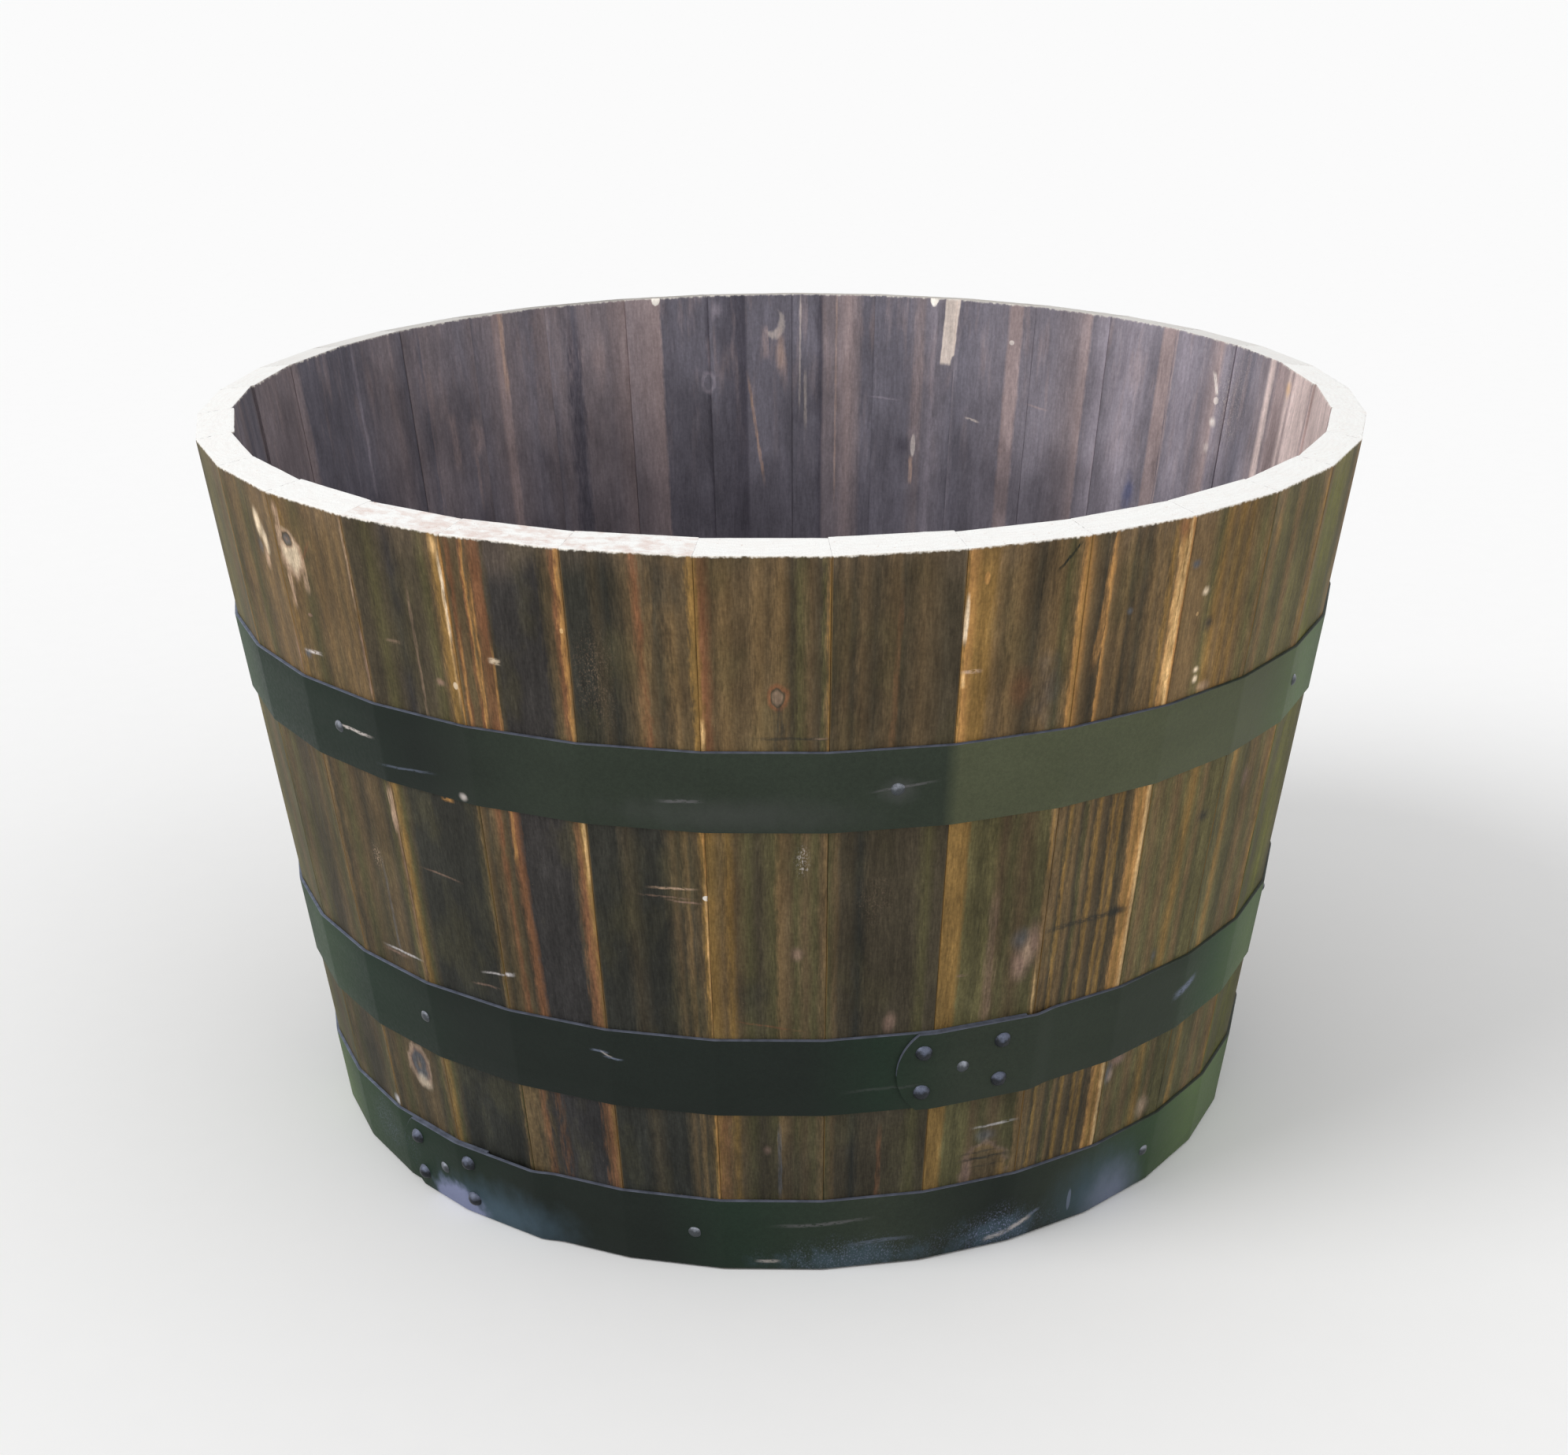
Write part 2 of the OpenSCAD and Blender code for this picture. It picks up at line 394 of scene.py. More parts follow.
    def scuff(self, colour, x, z, length, width, tone, lean=0.0, strength=0.7):
        """A scratch or rubbed mark that runs across the grain."""
        wobble = (self.noise(0.09, z, 2) - 0.5) * 2
        line = (self.z - self.x * lean + wobble).near(z - x * lean, width * 0.15, width * 0.65)
        run = self.x.near(x, length * 0.15, length * 0.4)
        broken = self.noise((0.4, 0.4, 1.2), z + x, 3).smooth(0.3, 0.52)
        return self.blend(line * run * broken * strength, colour, tone)

    def streak(self, colour, x, z, length, width, tone, lean=0.0, strength=0.7):
        """A long mark that runs with the grain, broken into fibres."""
        hairs = (self.noise((0.7, 0.7, 0.0007), x + z, 3) - 0.5) * width
        line = (self.x - (self.z - z) * lean + hairs).near(x, width * 0.2, width * 0.4)
        run = self.z.near(z, length * 0.3, length * 0.25)
        return self.blend(line * run * self.fibres * strength, colour, tone)

    def strip(self, colour, x, z, length, width, tone, lean=0.0, strength=0.9):
        """A torn strip of paler wood with a clear edge."""
        ragged = self.noise((0.15, 0.15, 0.08), x + z) * 2
        line = (self.x - (self.z - z) * lean + ragged).near(x + 1, width * 0.4, 1)
        run = (self.z + ragged).near(z + 1, length * 0.46, 3)
        return self.blend(line * run * strength, colour, tone)

    def finish(self, colour, roughness, specular, bump=None, depth=0.0, metallic=0.0):
        """The material. Its bump goes from 0 to a depth in millimetres."""
        self.feed(self.shader, {
            "Base Color": colour,
            "Roughness": roughness,
            "Specular IOR Level": specular,
            "Metallic": metallic,
        })
        if bump is not None:
            node = self.node("ShaderNodeBump", {"Height": bump, "Distance": depth * MM, "Strength": 1})
            self.feed(self.shader, {"Normal": node.outputs[0]})
        return self.material


# ---- Wood of the staves


class Board(Graph):
    """The wood of one stave. across runs from 0 to 1 between its joints. place does too,
    and follows the lean (mm across per mm up) and sway of the grain between them."""

    def __init__(self, name, number, side, lean=0.0):
        self.number = number
        super().__init__(name, stave_angle(number), number * 7 + side * 300)
        width = self.y * (-2 * math.tan(HALF_PITCH))
        self.across = self.x / width + 0.5
        sway = (self.noise((0.002, 0.002, 0.005)) - 0.5) * 6
        shift = ((self.z - 200) * lean + sway) * self.across * (1 - self.across) * 4
        self.place = self.across - shift / width
        leaned = self.node("ShaderNodeCombineXYZ", {0: self.x - shift, 1: self.y, 2: self.z})
        self.set_grain(leaned.outputs[0])

    def add_marks(self, colour, marks, radius_at, reach=0.0):
        """Adds the marks whose angle is on this stave, or within a reach beyond its joints.
        Each mark is its angle, height and kind, and what that kind takes."""
        for angle, height, kind, *sizes in marks:
            turn = (angle - stave_angle(self.number) + 180) % 360 - 180
            if abs(turn) < PITCH / 2 + reach:
                x = radius_at(height) * math.tan(math.radians(turn))
                colour = getattr(self, kind)(colour, x, height, *sizes)
        return colour


# The grain of each stave that shows, as its lean and the tones across it from its left
# joint (0) to its right joint (100), above the top hoop and below it
TONES = {
    28: (0, "0 olive 30 moss 50 olive 80 brown 90 olive 100 tan",
        "0 moss 40 olive 65 brown 80 olive 100 olive"),
    29: (0, "0 olive 15 brown 30 tan 40 olive 55 brown 72 tan 84 brown 94 tan 100 tan",
        "0 olive 14 brown 28 olive 45 umber 60 umber 75 brown 90 olive 100 tan"),
    30: (0, "0 tan 10 brown 20 tan 32 olive 45 brown 55 tan 62 brown 76 tan 82 brown 90 tan 96 brown "
        "100 tan",
        "0 tan 6 umber 15 brown 25 olive 38 brown 50 umber 65 brown 76 brown 84 umber 92 olive 97 tan "
        "100 tan"),
    31: (0, "0 tan 3 umber 14 umber 24 olive 34 umber 44 plum 56 umber 70 umber 80 olive 86 brown "
        "91 gold 95 gold 97 tan 100 amber",
        "0 tan 4 gold 10 olive 15 umber 20 pitch 90 pitch 96 umber 98 tan 100 olive"),
    32: (-0.02, "0 tan 3 brown 6 rust 10 brown 16 brown 19 rust 21 amber 23 brown 30 rust 35 rust "
        "39 umber 44 plum 82 plum 86 umber 91 brown 95 rust 98 amber 100 tan",
        "0 tan 3 brown 8 umber 14 brown 20 rust 23 brown 28 umber 33 rust 36 rust 41 plum 82 plum "
        "88 umber 93 rust 98 gold 100 tan"),
    33: (-0.02, "0 umber 4 pitch 22 pitch 30 umber 40 pitch 50 umber 58 brown 64 rust 68 brown "
        "76 umber 82 brown 86 tan 90 brown 95 brown 98 gold 100 gold",
        "0 umber 3 pitch 25 pitch 35 umber 48 pitch 64 pitch 70 umber 75 brown 79 umber 85 tan "
        "88 umber 94 brown 98 gold 100 amber"),
    1: (0, "0 gold 5 rust 12 brown 20 tan 28 brown 38 brown 45 tan 52 brown 62 tan 70 umber 76 olive "
        "84 brown 92 umber 95 olive 98 tan 100 gold",
        "0 gold 4 gold 12 tan 18 gold 24 brown 34 olive 42 umber 55 olive 60 tan 68 brown 74 olive "
        "82 brown 90 olive 95 brown 100 tan"),
    2: (0, "0 umber 12 brown 17 umber 24 brown 34 umber 47 brown 51 brown 55 umber 70 brown 88 umber "
        "100 umber",
        "0 olive 8 brown 12 umber 20 umber 28 pitch 36 umber 75 umber 85 olive 92 umber 100 umber"),
    3: (0.02, "0 gold 3 amber 10 gold 18 gold 24 tan 30 brown 38 tan 46 brown 55 umber 64 brown "
        "74 tan 82 olive 92 tan 96 amber 100 gold",
        "0 gold 16 gold 21 moss 32 olive 42 moss 50 brown 60 olive 72 brown 85 olive 92 olive 96 tan "
        "100 tan"),
    4: (0, "0 amber 6 tan 10 brown 16 umber 21 brown 23 amber 26 tan 34 brown 40 tan 44 umber "
        "50 brown 56 umber 61 brown 66 tan 70 brown 74 tan 78 brown 82 gold 86 tan 90 amber 93 gold "
        "96 cream 98 amber 100 rust",
        "0 brown 6 tan 10 umber 14 gold 17 brown 22 tan 26 umber 31 olive 35 tan 39 umber 45 gold "
        "48 brown 56 umber 60 gold 63 brown 69 gold 72 umber 80 brown 84 amber 90 gold 93 amber "
        "97 cream 100 umber"),
    5: (0, "0 tan 22 tan 34 moss 44 gold 52 tan 60 gold 66 tan 72 gold 78 tan 90 moss 100 tan",
        "0 moss 10 tan 24 moss 36 tan 46 moss 58 gold 66 moss 74 tan 80 olive 88 moss 100 moss"),
    6: (0, "0 olive 14 tan 22 moss 40 olive 50 tan 60 moss 85 olive 94 tan 100 gold",
        "0 olive 12 moss 20 gold 30 moss 45 olive 60 tan 75 moss 90 tan 100 gold"),
    7: (0, "0 tan 15 lichen 50 lichen 80 olive 100 tan",
        "0 lichen 20 olive 45 lichen 60 lichen 100 olive"),
}

DARK_TONES = ("umber", "pitch", "olive", "umber", "brown")
LIGHT_TONES = ("moss", "tan", "brown", "olive", "brown")
EDGE_TONES = ("gold", "tan", "brown", "umber")


def made_up_stops(draw, dark, light, edge):
    """Tones across a stave that the photograph doesn't show, of the same kinds."""
    tones = [(0, draw.choice(edge))]
    lightness = draw.uniform(0.1, 0.8)
    while tones[-1][0] < 0.9:
        kinds = light if draw.random() < lightness else dark
        tones.append((tones[-1][0] + draw.uniform(0.05, 0.18), draw.choice(kinds)))
    tones[-1] = (1, draw.choice(edge))
    return tones


def made_up_tones(number):
    draw = random.Random(number * 101)
    tones = made_up_stops(draw, DARK_TONES, LIGHT_TONES, EDGE_TONES)
    return draw.uniform(-0.03, 0.03), tones, tones


def made_up_marks(number):
    """Streaks, scuffs and now and then a knot, for a stave that doesn't show."""
    draw = random.Random(number * 57)
    marks = []

    def add(kind, *sizes):
        marks.append((stave_angle(number) + draw.uniform(-4.8, 4.8), draw.uniform(60, 380), kind, *sizes))

    for _ in range(draw.randint(2, 4)):
        tone = draw.choice(("gold", "amber", "rust", "rose"))
        add("streak", draw.uniform(30, 110), draw.uniform(1.5, 4), tone, draw.uniform(-0.02, 0.02), 0.5)
    for _ in range(draw.randint(1, 3)):
        add("scuff", draw.uniform(6, 24), draw.uniform(0.9, 1.8), draw.choice(("bone", "rose", "dust")))
    if draw.random() < 0.4:
        width = draw.uniform(9, 20)
        add("knot", width, width * draw.uniform(1.1, 1.6), draw.choice(("red", "ringed", "torn")), 0.8)
    return marks


# Marks on the outside: angle, height and kind, then width or length and the rest
OUTER_MARKS = table("""
-54.3 377 patch 9 18 halo 1
-53.3 369 patch 9 18 halo 1
-53.6 359 patch 8 14 blond 0.9
-54.6 364 patch 8 10 slate 0.7
# The big knot near the rim, its pale halo and the halo's tails
-48.4 370 patch 34 70 tan 0.9
-49.3 388 streak 30 8 gold 0.03 1
-49.8 381 streak 26 5 blond 0.08 1
-49.5 352 streak 30 4 blond 0.04 1
-47 360 streak 24 5 blond -0.03 0.8
-48.5 367 knot 21 28 pale 0.9
-48.7 375 knot 13 13 eye 0.9
-46 372 streak 12 3 rust 0.7 0.8
-45.5 366 streak 40 5 tan -0.05 0.6
# The staves about it, with the grey knot near the foot
-49.8 320 streak 60 4 gold 0 0.6
-50.7 312 patch 7 30 rose 0.7
-48.3 316.5 scuff 17 2 bone 0.06 1
-49.3 314.5 patch 8 6 slate 1
-47.5 337 spot 4 2 rose
-44.7 82 patch 34 46 brown 0.8
-44.6 83 knot 21 31 grey 0.9
-44.3 73 patch 16 11 halo 0.5
-44.3 208 crackle 12 18 blond 1
-43.8 180 streak 60 2.4 slate 0 0.5
-43.3 154.6 scuff 36 1.4 bone 0.03 0.7
-44.5 152.4 scuff 24 1.6 rose 0.03 0.8
-40.1 242 streak 28 5 blond 0 1
-39.9 372 streak 50 1.8 blond 0 0.6
-39.9 322 streak 40 2.4 rose 0 0.9
-39.8 190 streak 120 1.6 rose
-50.4 200 streak 190 5 tan 0 0.7
-51 48 patch 10 8 bone 0.9
# The staves left of the front
-36 337 scuff 11 1.8 dust
-31 321 patch 7 5 rose 0.8
-35 212 scuff 28 1.2 rose -0.1 0.5
-33.3 332 streak 76 2 dust 0 0.8
-32.6 257 scuff 9 2.4 amber 0 0.9
-29.15 366 streak 46 2.2 halo 0 0.9
-29.2 340 streak 60 1.4 cream 0 0.6
-29.4 321 spot 3 4 halo
-29.6 390 patch 9 16 cream 0.8
-28.7 163.6 scuff 12 2.2 bone 0.08 1
-30 162 scuff 20 1.2 bone 0.12 0.8
-31.5 153 scuff 20 1.2 rose 0.08 0.7
-28.2 325 streak 50 1.6 amber
-26.5 340 streak 80 1.8 amber 0 0.9
-25.2 322 streak 50 1.8 amber
-25.5 247 streak 40 2.4 amber
-25.1 337 scuff 7 2.6 halo 0 0.9
-28 70 streak 100 9 tan 0 0.9
-24.5 70 streak 90 16 plum 0 1
-18.3 357 spot 2 3 cream
-18.1 244 streak 40 2.4 cream 0 0.9
-17.95 190 streak 110 1.4 gold
-18.6 174 streak 90 8 rust 0 0.8
-18.6 70 streak 90 9 rust 0 0.8
-15.5 335 crackle 24 74 dust 0.7
-11.2 345 streak 110 5 tan 0.1 0.7
-9.5 382 patch 24 40 pitch 0.6
-10.2 227 scuff 26 1.2 blond 0.04 0.8
-9.2 220 scuff 20 1.1 rose -0.05 0.8
-11 222 scuff 30 1 rose -0.02 0.5
-7.05 222.8 spot 4 3 raw 1
-6.9 345 streak 110 2 gold 0 0.6
-6.8 306 streak 24 2.6 cream 0 0.9
-7 180 streak 110 1.6 cream 0 0.6
-7 70 streak 90 1.8 amber 0 0.9
-6.3 68 streak 90 9 rust 0 0.7
-56 66 patch 60 64 pitch 0.4
# The front stave, with the red knot
-0.8 62 patch 66 64 umber 0.8
-0.4 328.6 knot 11.5 17 red 1
-0.3 312 streak 30 6 pitch 0 0.8
1 307.5 scuff 44 1.4 pitch
3.4 307.6 scuff 10 1 dust
-3.5 166 patch 24 40 pitch 0.5
-1.6 150.5 scuff 40 1 rust -0.18 0.6
-1.9 76 patch 6 8 rose 0.8
-0.6 68 streak 50 2.4 slate 0 0.7
1.7 244 crackle 10 24 bone 1
1.2 192 patch 8 11 rose 0.7
# The staves right of the front, with the broad knot at the foot
9.5 336 streak 90 3 rust 0.03 0.35
10.3 149 patch 8 16 rose 0.8
9.8 62 streak 54 3 rust 0 0.6
8.5 220 crackle 20 40 dust 0.5
15.1 363 streak 26 2.6 halo 0 1
16.7 382 spot 3 7 amber 0.7
15.9 336.4 scuff 12 1.8 blond 0 1
15.2 333 streak 9 2 cream 0 1
24 388 streak 14 2 soot 0.8 1
23.3 320 patch 18 50 slate 0.4
20.5 325 patch 14 30 rust 0.5
30.8 355 patch 5 5 slate 1
25.4 240 streak 40 1.6 gold
17.4 172.4 scuff 7 1.6 rose
20.2 180 streak 80 6 rose 0 0.4
23.4 187 patch 13 18 slate 0.7 0.6
24.7 185 patch 11 32 rose 1 0.6
23.6 174 patch 14 26 rose 1 0.6
24.2 180 patch 7 20 blond 0.6
25.4 152 streak 40 1.6 cream 0 0.6
21.8 52 knot 30 38 broad 0.9
19.8 52 patch 8 26 rose 1
21.8 72 patch 16 12 slate 0.6
24 46 patch 7 22 gold 0.9
21.8 58 scuff 34 1.6 pitch 0 0.8
21.2 62 scuff 26 1.2 pitch 0 0.6
22.2 53 scuff 24 1.2 pitch 0 0.5
22.8 78 scuff 28 1.4 bone 0.02 0.5
28 358 streak 64 5 amber 0.06 0.6
35.7 345 streak 90 5 cream 0 0.7
35.6 392 patch 12 18 rust 0.8
35.9 200 streak 170 4 amber 0 0.7
36.3 215 streak 170 1.6 cream 0 0.7
30.5 189.5 scuff 66 3 pitch 0 0.7
34.6 189.5 patch 16 8 pitch 0.9
37.6 372 patch 9 6 slate 1
39.6 355.6 patch 8 6 halo 0.9
38.9 345 spot 2 2.5 cream 0.5
40.9 338.5 patch 11 12 plum 0.9
40.1 314.5 patch 6 5 halo 1
40.2 309.5 patch 5 6 halo 1
41.5 304 patch 12 8 blond 0.6
45.7 227 patch 12 10 plum 0.7
41.6 152 patch 6 12 slate 0.8
38.4 95 patch 18 11 rose 1
37.3 88 patch 9 18 slate 1
37.5 87 patch 6 12 blond 0.6
44.4 54 patch 13 20 blond 0.7
49.3 375 patch 8 20 gold
53.1 237 patch 10 18 rose 0.6
""")


def outer_wood(number):
    seen = number in TONES
    lean, upper, lower = TONES[number] if seen else made_up_tones(number)
    board = Board(f"stave_{number:02d}_outside", number, 0, lean)
    bands = board.noise((0.14, 0.14, 0.0012), 1)
    lines = board.noise((0.35, 0.35, 0.0006), 2)
    hairs = board.noise((1.4, 1.4, 0.0006), 3, 3)
    grit = board.noise((0.8, 0.8, 0.6), 9, 4)
    stain = board.noise((0.03, 0.03, 0.018), 4, 4)
    mould = board.noise((0.045, 0.045, 0.02), 5, 4)
    place = board.place + (lines - 0.5) * 0.05 + (hairs - 0.5) * 0.06
    colour = board.blend(board.z.smooth(262, 292), board.ramp(place, lower), board.ramp(place, upper))
    colour = board.blend(mould.smooth(0.48, 0.66) * 0.3, colour, "olive")
    dry = (board.z + (stain - 0.5) * 60).smooth(378, 402) * 0.18
    colour = board.blend(dry, colour, "dust")
    colour = board.add_marks(colour, OUTER_MARKS if seen else made_up_marks(number), outer_face)
    tone = bands.contrast(0.14) * lines.contrast(0.18) * stain.contrast(0.24)
    tone = tone * board.fibres.spread(0.45, 1, 0.9, 1.1) * hairs.contrast(0.2)
    colour = board.shade(colour, tone * grit.contrast(0.15))
    # Painted shade: the staves are darkened towards the foot, and made greyer and cooler there
    damp = board.blend(board.z.smooth(360, 20), "dry", "damp")
    colour = board.blend(1.0, colour, damp, "MULTIPLY")
    flecks = board.noise((0.9, 0.9, 0.7), 6, 1).smooth(0.79, 0.84)
    colour = board.blend(flecks * 0.4, colour, "dust")
    # The joint edges are paler in places: partly rubbed wood, partly painted light that lifts the shade in
    # the rounded joints. The cut rim is raw wood
    edge = abs(board.across - 0.5).smooth(0.485, 0.497)
    rubbed_and_lit = board.noise((0.05, 0.05, 0.012), 7, 3).smooth(0.42, 0.6)
    colour = board.blend(edge * rubbed_and_lit * 0.6, colour, "gold")
    rim = board.noise((0.5, 0.5, 0.4), 8) * 2.4
    colour = board.blend((board.z + rim).smooth(RIM_HEIGHT - 0.1, RIM_HEIGHT + 1.3), colour, "raw")
    return board.finish(colour, lines.contrast(0.1) * 0.62, 0.11, lines * 0.6 + hairs * 0.4, 0.3)


# The tones round the inside, by angle, with angles past 180 to the left of the back
INNER_TONES = (
    "80 shell 91 shell 91.6 blush 92.2 shell 97 shell 97.6 blush 98.4 shell 99.5 blush 102.6 blush "
    "103.4 mouse 104 shell 104.6 shell 105.2 mouse 108 ash 109 ink 111 ash 114.5 lilac 115.3 blush "
    "118 ash 122 lilac 123.5 ash 124.3 blush 126 blush 126.4 ash 131 lilac 137.2 ash 137.6 blush "
    "139.2 mouse 143 ash 147.2 ash 147.6 blush 149.1 blush 149.5 ash 156 ink 159 ash 159.4 lilac "
    "160.5 ash 161 mouse 163 ink 169 ink 169.6 mouse 171 blush 172.6 mouse 174.2 mouse 174.6 shadow "
    "175.5 ink 184.3 ink 184.7 shadow 190 ink 195.6 ink 196 blush 203 mouse 206.8 mouse 207.5 ink "
    "210 mouse 214 ash 217.4 mouse 217.8 blush 218.7 blush 219.2 mouse 224 ash 230 mouse 230.5 ink "
    "236 mouse 242.2 ink 242.8 ink 253.2 ink 253.8 mouse 262 mouse"
)
INNER_SEEN = (80, 262)
BLEACHED_SIDE = (30, 80)

# Marks on the inside, written as those on the outside
INNER_MARKS = table("""
98.6 389 patch 10 14 cream 0.6
112 370 crackle 50 70 bleached 0.4
115.4 374 streak 14 4 bone 0.4 1
114.9 364 spot 5 5 bone 0.7
115 351 patch 8 9 bone 1
115.3 335 patch 7 8 bone 0.4
121 345 crackle 40 70 lilac 0.5
128.3 292 patch 12 30 indigo 0.6
144.2 335 scuff 20 1.2 blush 0.1 0.6
148.7 375 spot 4 3.5 bone
149 304 spot 4 3 blush
157.4 381 strip 49 10.5 bleached -0.06 0.9
156.6 358 spot 6 12 ash 1
159.7 399 spot 6 10 raw 1
161.7 301 spot 3.5 16 bone 0.6
161.9 285 streak 20 3 clay 0 0.6
163.2 301 patch 16 18 shadow 0.8
161.6 350 streak 110 7 blush 0 0.5
153.5 322 scuff 12 1.4 bleached 0.2 0.6
166 332 scuff 26 1.2 lilac 0.05 0.6
172.6 345 streak 180 1.6 clay 0 0.4
176.7 330 streak 40 2.4 bleached 0 0.4
177.4 364 streak 90 1.6 bleached 0 0.4
180.7 380 spot 15 22 bleached 0.4
181.3 384 spot 14 20 ink 1
180 360 patch 9 40 clay 0.5
182 368 streak 24 5 blush 0 0.8
183.4 310 streak 76 2.2 fawn 0.136 0.8
188.3 390 patch 10 12 lilac 0.7
189.7 342 spot 11.5 17 lilac 0.6
189.7 342 spot 6.5 11 ink 0.9
196.5 370 streak 160 6 blush 0 0.6
199.5 370 streak 90 22 blush 0 0.35
196.3 399 spot 6 9 raw 1
204.5 362 patch 14 50 blush 0.7
208 310 streak 170 12 shadow -0.02 0.9
212 375 streak 80 16 blush 0 0.4
217.8 378 streak 70 4 clay 0 0.7
218.4 330 streak 180 2.4 blush 0 0.7
223.4 322 patch 16 30 blush 0.9
223.8 324 spot 8 12 mouse 0.8
227 324 streak 40 6 blush 0 0.9
223.9 296 streak 40 3 blush 0 0.8
230.4 340 streak 150 1.8 blush 0 0.5
242 355 streak 120 3 lilac 0 0.8
255 370 streak 120 14 blush 0 0.4
""")
INNER_REACH = 1.6
RIM_INSIDE = 400.06


def inner_wood(number):
    board = Board(f"stave_{number:02d}_inside", number, 1)
    middle = stave_angle(number)
    bands = board.noise((0.1, 0.1, 0.002), 1)
    lines = board.noise((0.45, 0.45, 0.0016), 2, 3)
    hairs = board.noise((1.3, 1.3, 0.002), 3, 3)
    grit = board.noise((0.6, 0.6, 0.5), 9, 4)
    stain = board.noise((0.03, 0.03, 0.018), 4, 4)
    if INNER_SEEN[0] < middle < INNER_SEEN[1]:
        place = board.across + (lines - 0.5) * 0.04 + (hairs - 0.5) * 0.03
        tones = stops_between(INNER_TONES, middle - PITCH / 2, middle + PITCH / 2)
    else:
        place = board.place
        bleached = BLEACHED_SIDE[0] < middle < BLEACHED_SIDE[1]
        dark, light = ("lilac", "blush") if bleached else ("ink", "ash")
        draw = random.Random(number * 31)
        tones = made_up_stops(draw, (dark, light), ("mouse", light), (light, "mouse"))
    colour = board.ramp(place, tones)
    pale = board.noise((0.16, 0.16, 0.004), 5, 4).smooth(0.5, 0.72)
    colour = board.blend(pale * board.z.smooth(250, 380) * 0.4, colour, "blush")
    # Painted shade: the lower part of the inside is blended towards the dark shadow tone
    low = (board.z + (stain - 0.5) * 120).smooth(340, 250)
    colour = board.blend(low * 0.45, colour, "shadow")
    colour = board.add_marks(colour, INNER_MARKS, inner_face, INNER_REACH)
    # The tone includes painted shade: darker towards the bottom of the inside
    tone = bands.contrast(0.1) * lines.contrast(0.12) * stain.contrast(0.22)
    tone = tone * hairs.contrast(0.1) * grit.contrast(0.1) * board.z.spread(240, 390, 0.94, 1.16)
    # Painted light: the right side of the inside is made lighter than the left
    colour = board.shade(colour, tone * (1.12 + 0.28 * math.cos(math.radians(middle - 122))))
    rim = board.noise((0.4, 0.4, 0.2), 8) * 4
    colour = board.blend((board.z + rim).smooth(RIM_INSIDE + 0.5, RIM_INSIDE + 2.5), colour, "raw")
    return board.finish(colour, 0.66, 0.12, lines * 0.6 + hairs * 0.4, 0.25)


# The sawn ends are near-white. Those of three staves are stained. Painted shade: the far ones are greyer,
# and those about one angle are darker
STAINED_ENDS = (31, 32, 33)
NEAR_ENDS, FAR_ENDS = 96, 152
SHADED_END, SHADED_REACH, SHADE_SHARE = 207, 30, 0.3


def end_wood(number):
    board = Board(f"stave_{number:02d}_end", number, 2)
    angle = stave_angle(number)
    far = (180 - abs(angle - 180) - NEAR_ENDS) / (FAR_ENDS - NEAR_ENDS)
    mottled, flecked = (0.62, 0.7) if number in STAINED_ENDS else (0.08, 0.35)
    curve = (board.x * board.x / 90 - board.y) * 2.1 + board.noise(0.1) * 9
    rings = board.math("SINE", curve)
    grit = board.noise(1.6, 1, 3)
    saw = board.noise((0.05, 1.1, 0.3), 2, 3)
    mottle = board.noise((0.14, 0.22, 0.2), 4, 4).smooth(0.36, 0.7)
    # Painted shade: the ends grow greyer towards the back of the tub
    colour = board.blend(min(max(far, 0.0), 1.0), "chalk", "pumice")
    colour = board.blend(rings.spread(-1, 1, 0, 0.03), colour, "dust")
    colour = board.blend(mottle * mottled, colour, "buff")
    # Painted shade: darker about one angle
    painted_shade = max(0.0, 1 - abs(angle - SHADED_END) / SHADED_REACH)
    tone = grit.spread(0.3, 0.7, 0.96, 1.02) * saw.spread(0.3, 0.7, 0.98, 1.01)
    colour = board.shade(colour, tone * (1 - SHADE_SHARE * painted_shade))
    flecks = board.noise(0.5, 3, 3).smooth(0.66, 0.76)
    colour = board.blend(flecks * flecked, colour, "brick")
    return board.finish(colour, 0.85, 0.1, grit, 0.4)


# ---- Meshes


def add_object(name, data):
    thing = bpy.data.objects.new(name, data)
    bpy.context.scene.collection.objects.link(thing)
    return thing


def add_piece(name, shape, mesh, smooth_angle):
    """A piece of a finished shape, which rides on the tub."""
    shape.to_mesh(mesh)
    shape.free()
    mesh.shade_smooth()
    mesh.set_sharp_from_angle(angle=math.radians(smooth_angle))
    piece = add_object(name, mesh)
    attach(piece, "root")
    return piece


def new_piece(name, points, faces, materials, smooth_angle, face_materials=None):
    """A piece of points in millimetres and the closed mesh of faces between them."""
    mesh = bpy.data.meshes.new(name)
    mesh.from_pydata([Vector(p) * MM for p in points], [], faces)
    for material in materials:
        mesh.materials.append(material)
    if face_materials:
        mesh.polygons.foreach_set("material_index", face_materials)
    shape = bmesh.new()
    shape.from_mesh(mesh)
    bmesh.ops.recalc_face_normals(shape, faces=shape.faces)
    bmesh.ops.triangulate(shape, faces=[f for f in shape.faces if len(f.verts) > 4])
    return add_piece(name, shape, mesh, smooth_angle)


def join_loops(loops):
    """Faces between neighbouring closed loops of equally many points, and the two ends."""
    count = len(loops[0])
    end = (len(loops) - 1) * count
    faces = [
        (base + k, base + (k + 1) % count, base + count + (k + 1) % count, base + count + k)
        for base in range(0, end, count)
        for k in range(count)
    ]
    return faces + [tuple(range(count))[::-1], tuple(range(end, end + count))]


def standing(place, x_axis, y_axis, z_axis):
    """Matrix that stands an object at a place, along three axes."""
    return Matrix.Translation(place) @ Matrix((x_axis, y_axis, z_axis)).transposed().to_4x4()


def rough(x, y, z, seed):
    """Smooth noise from -1 to 1."""
    return noise.noise(Vector((x, y, z)) + Vector((seed * 5.3, seed * 1.7, seed * 3.1)))


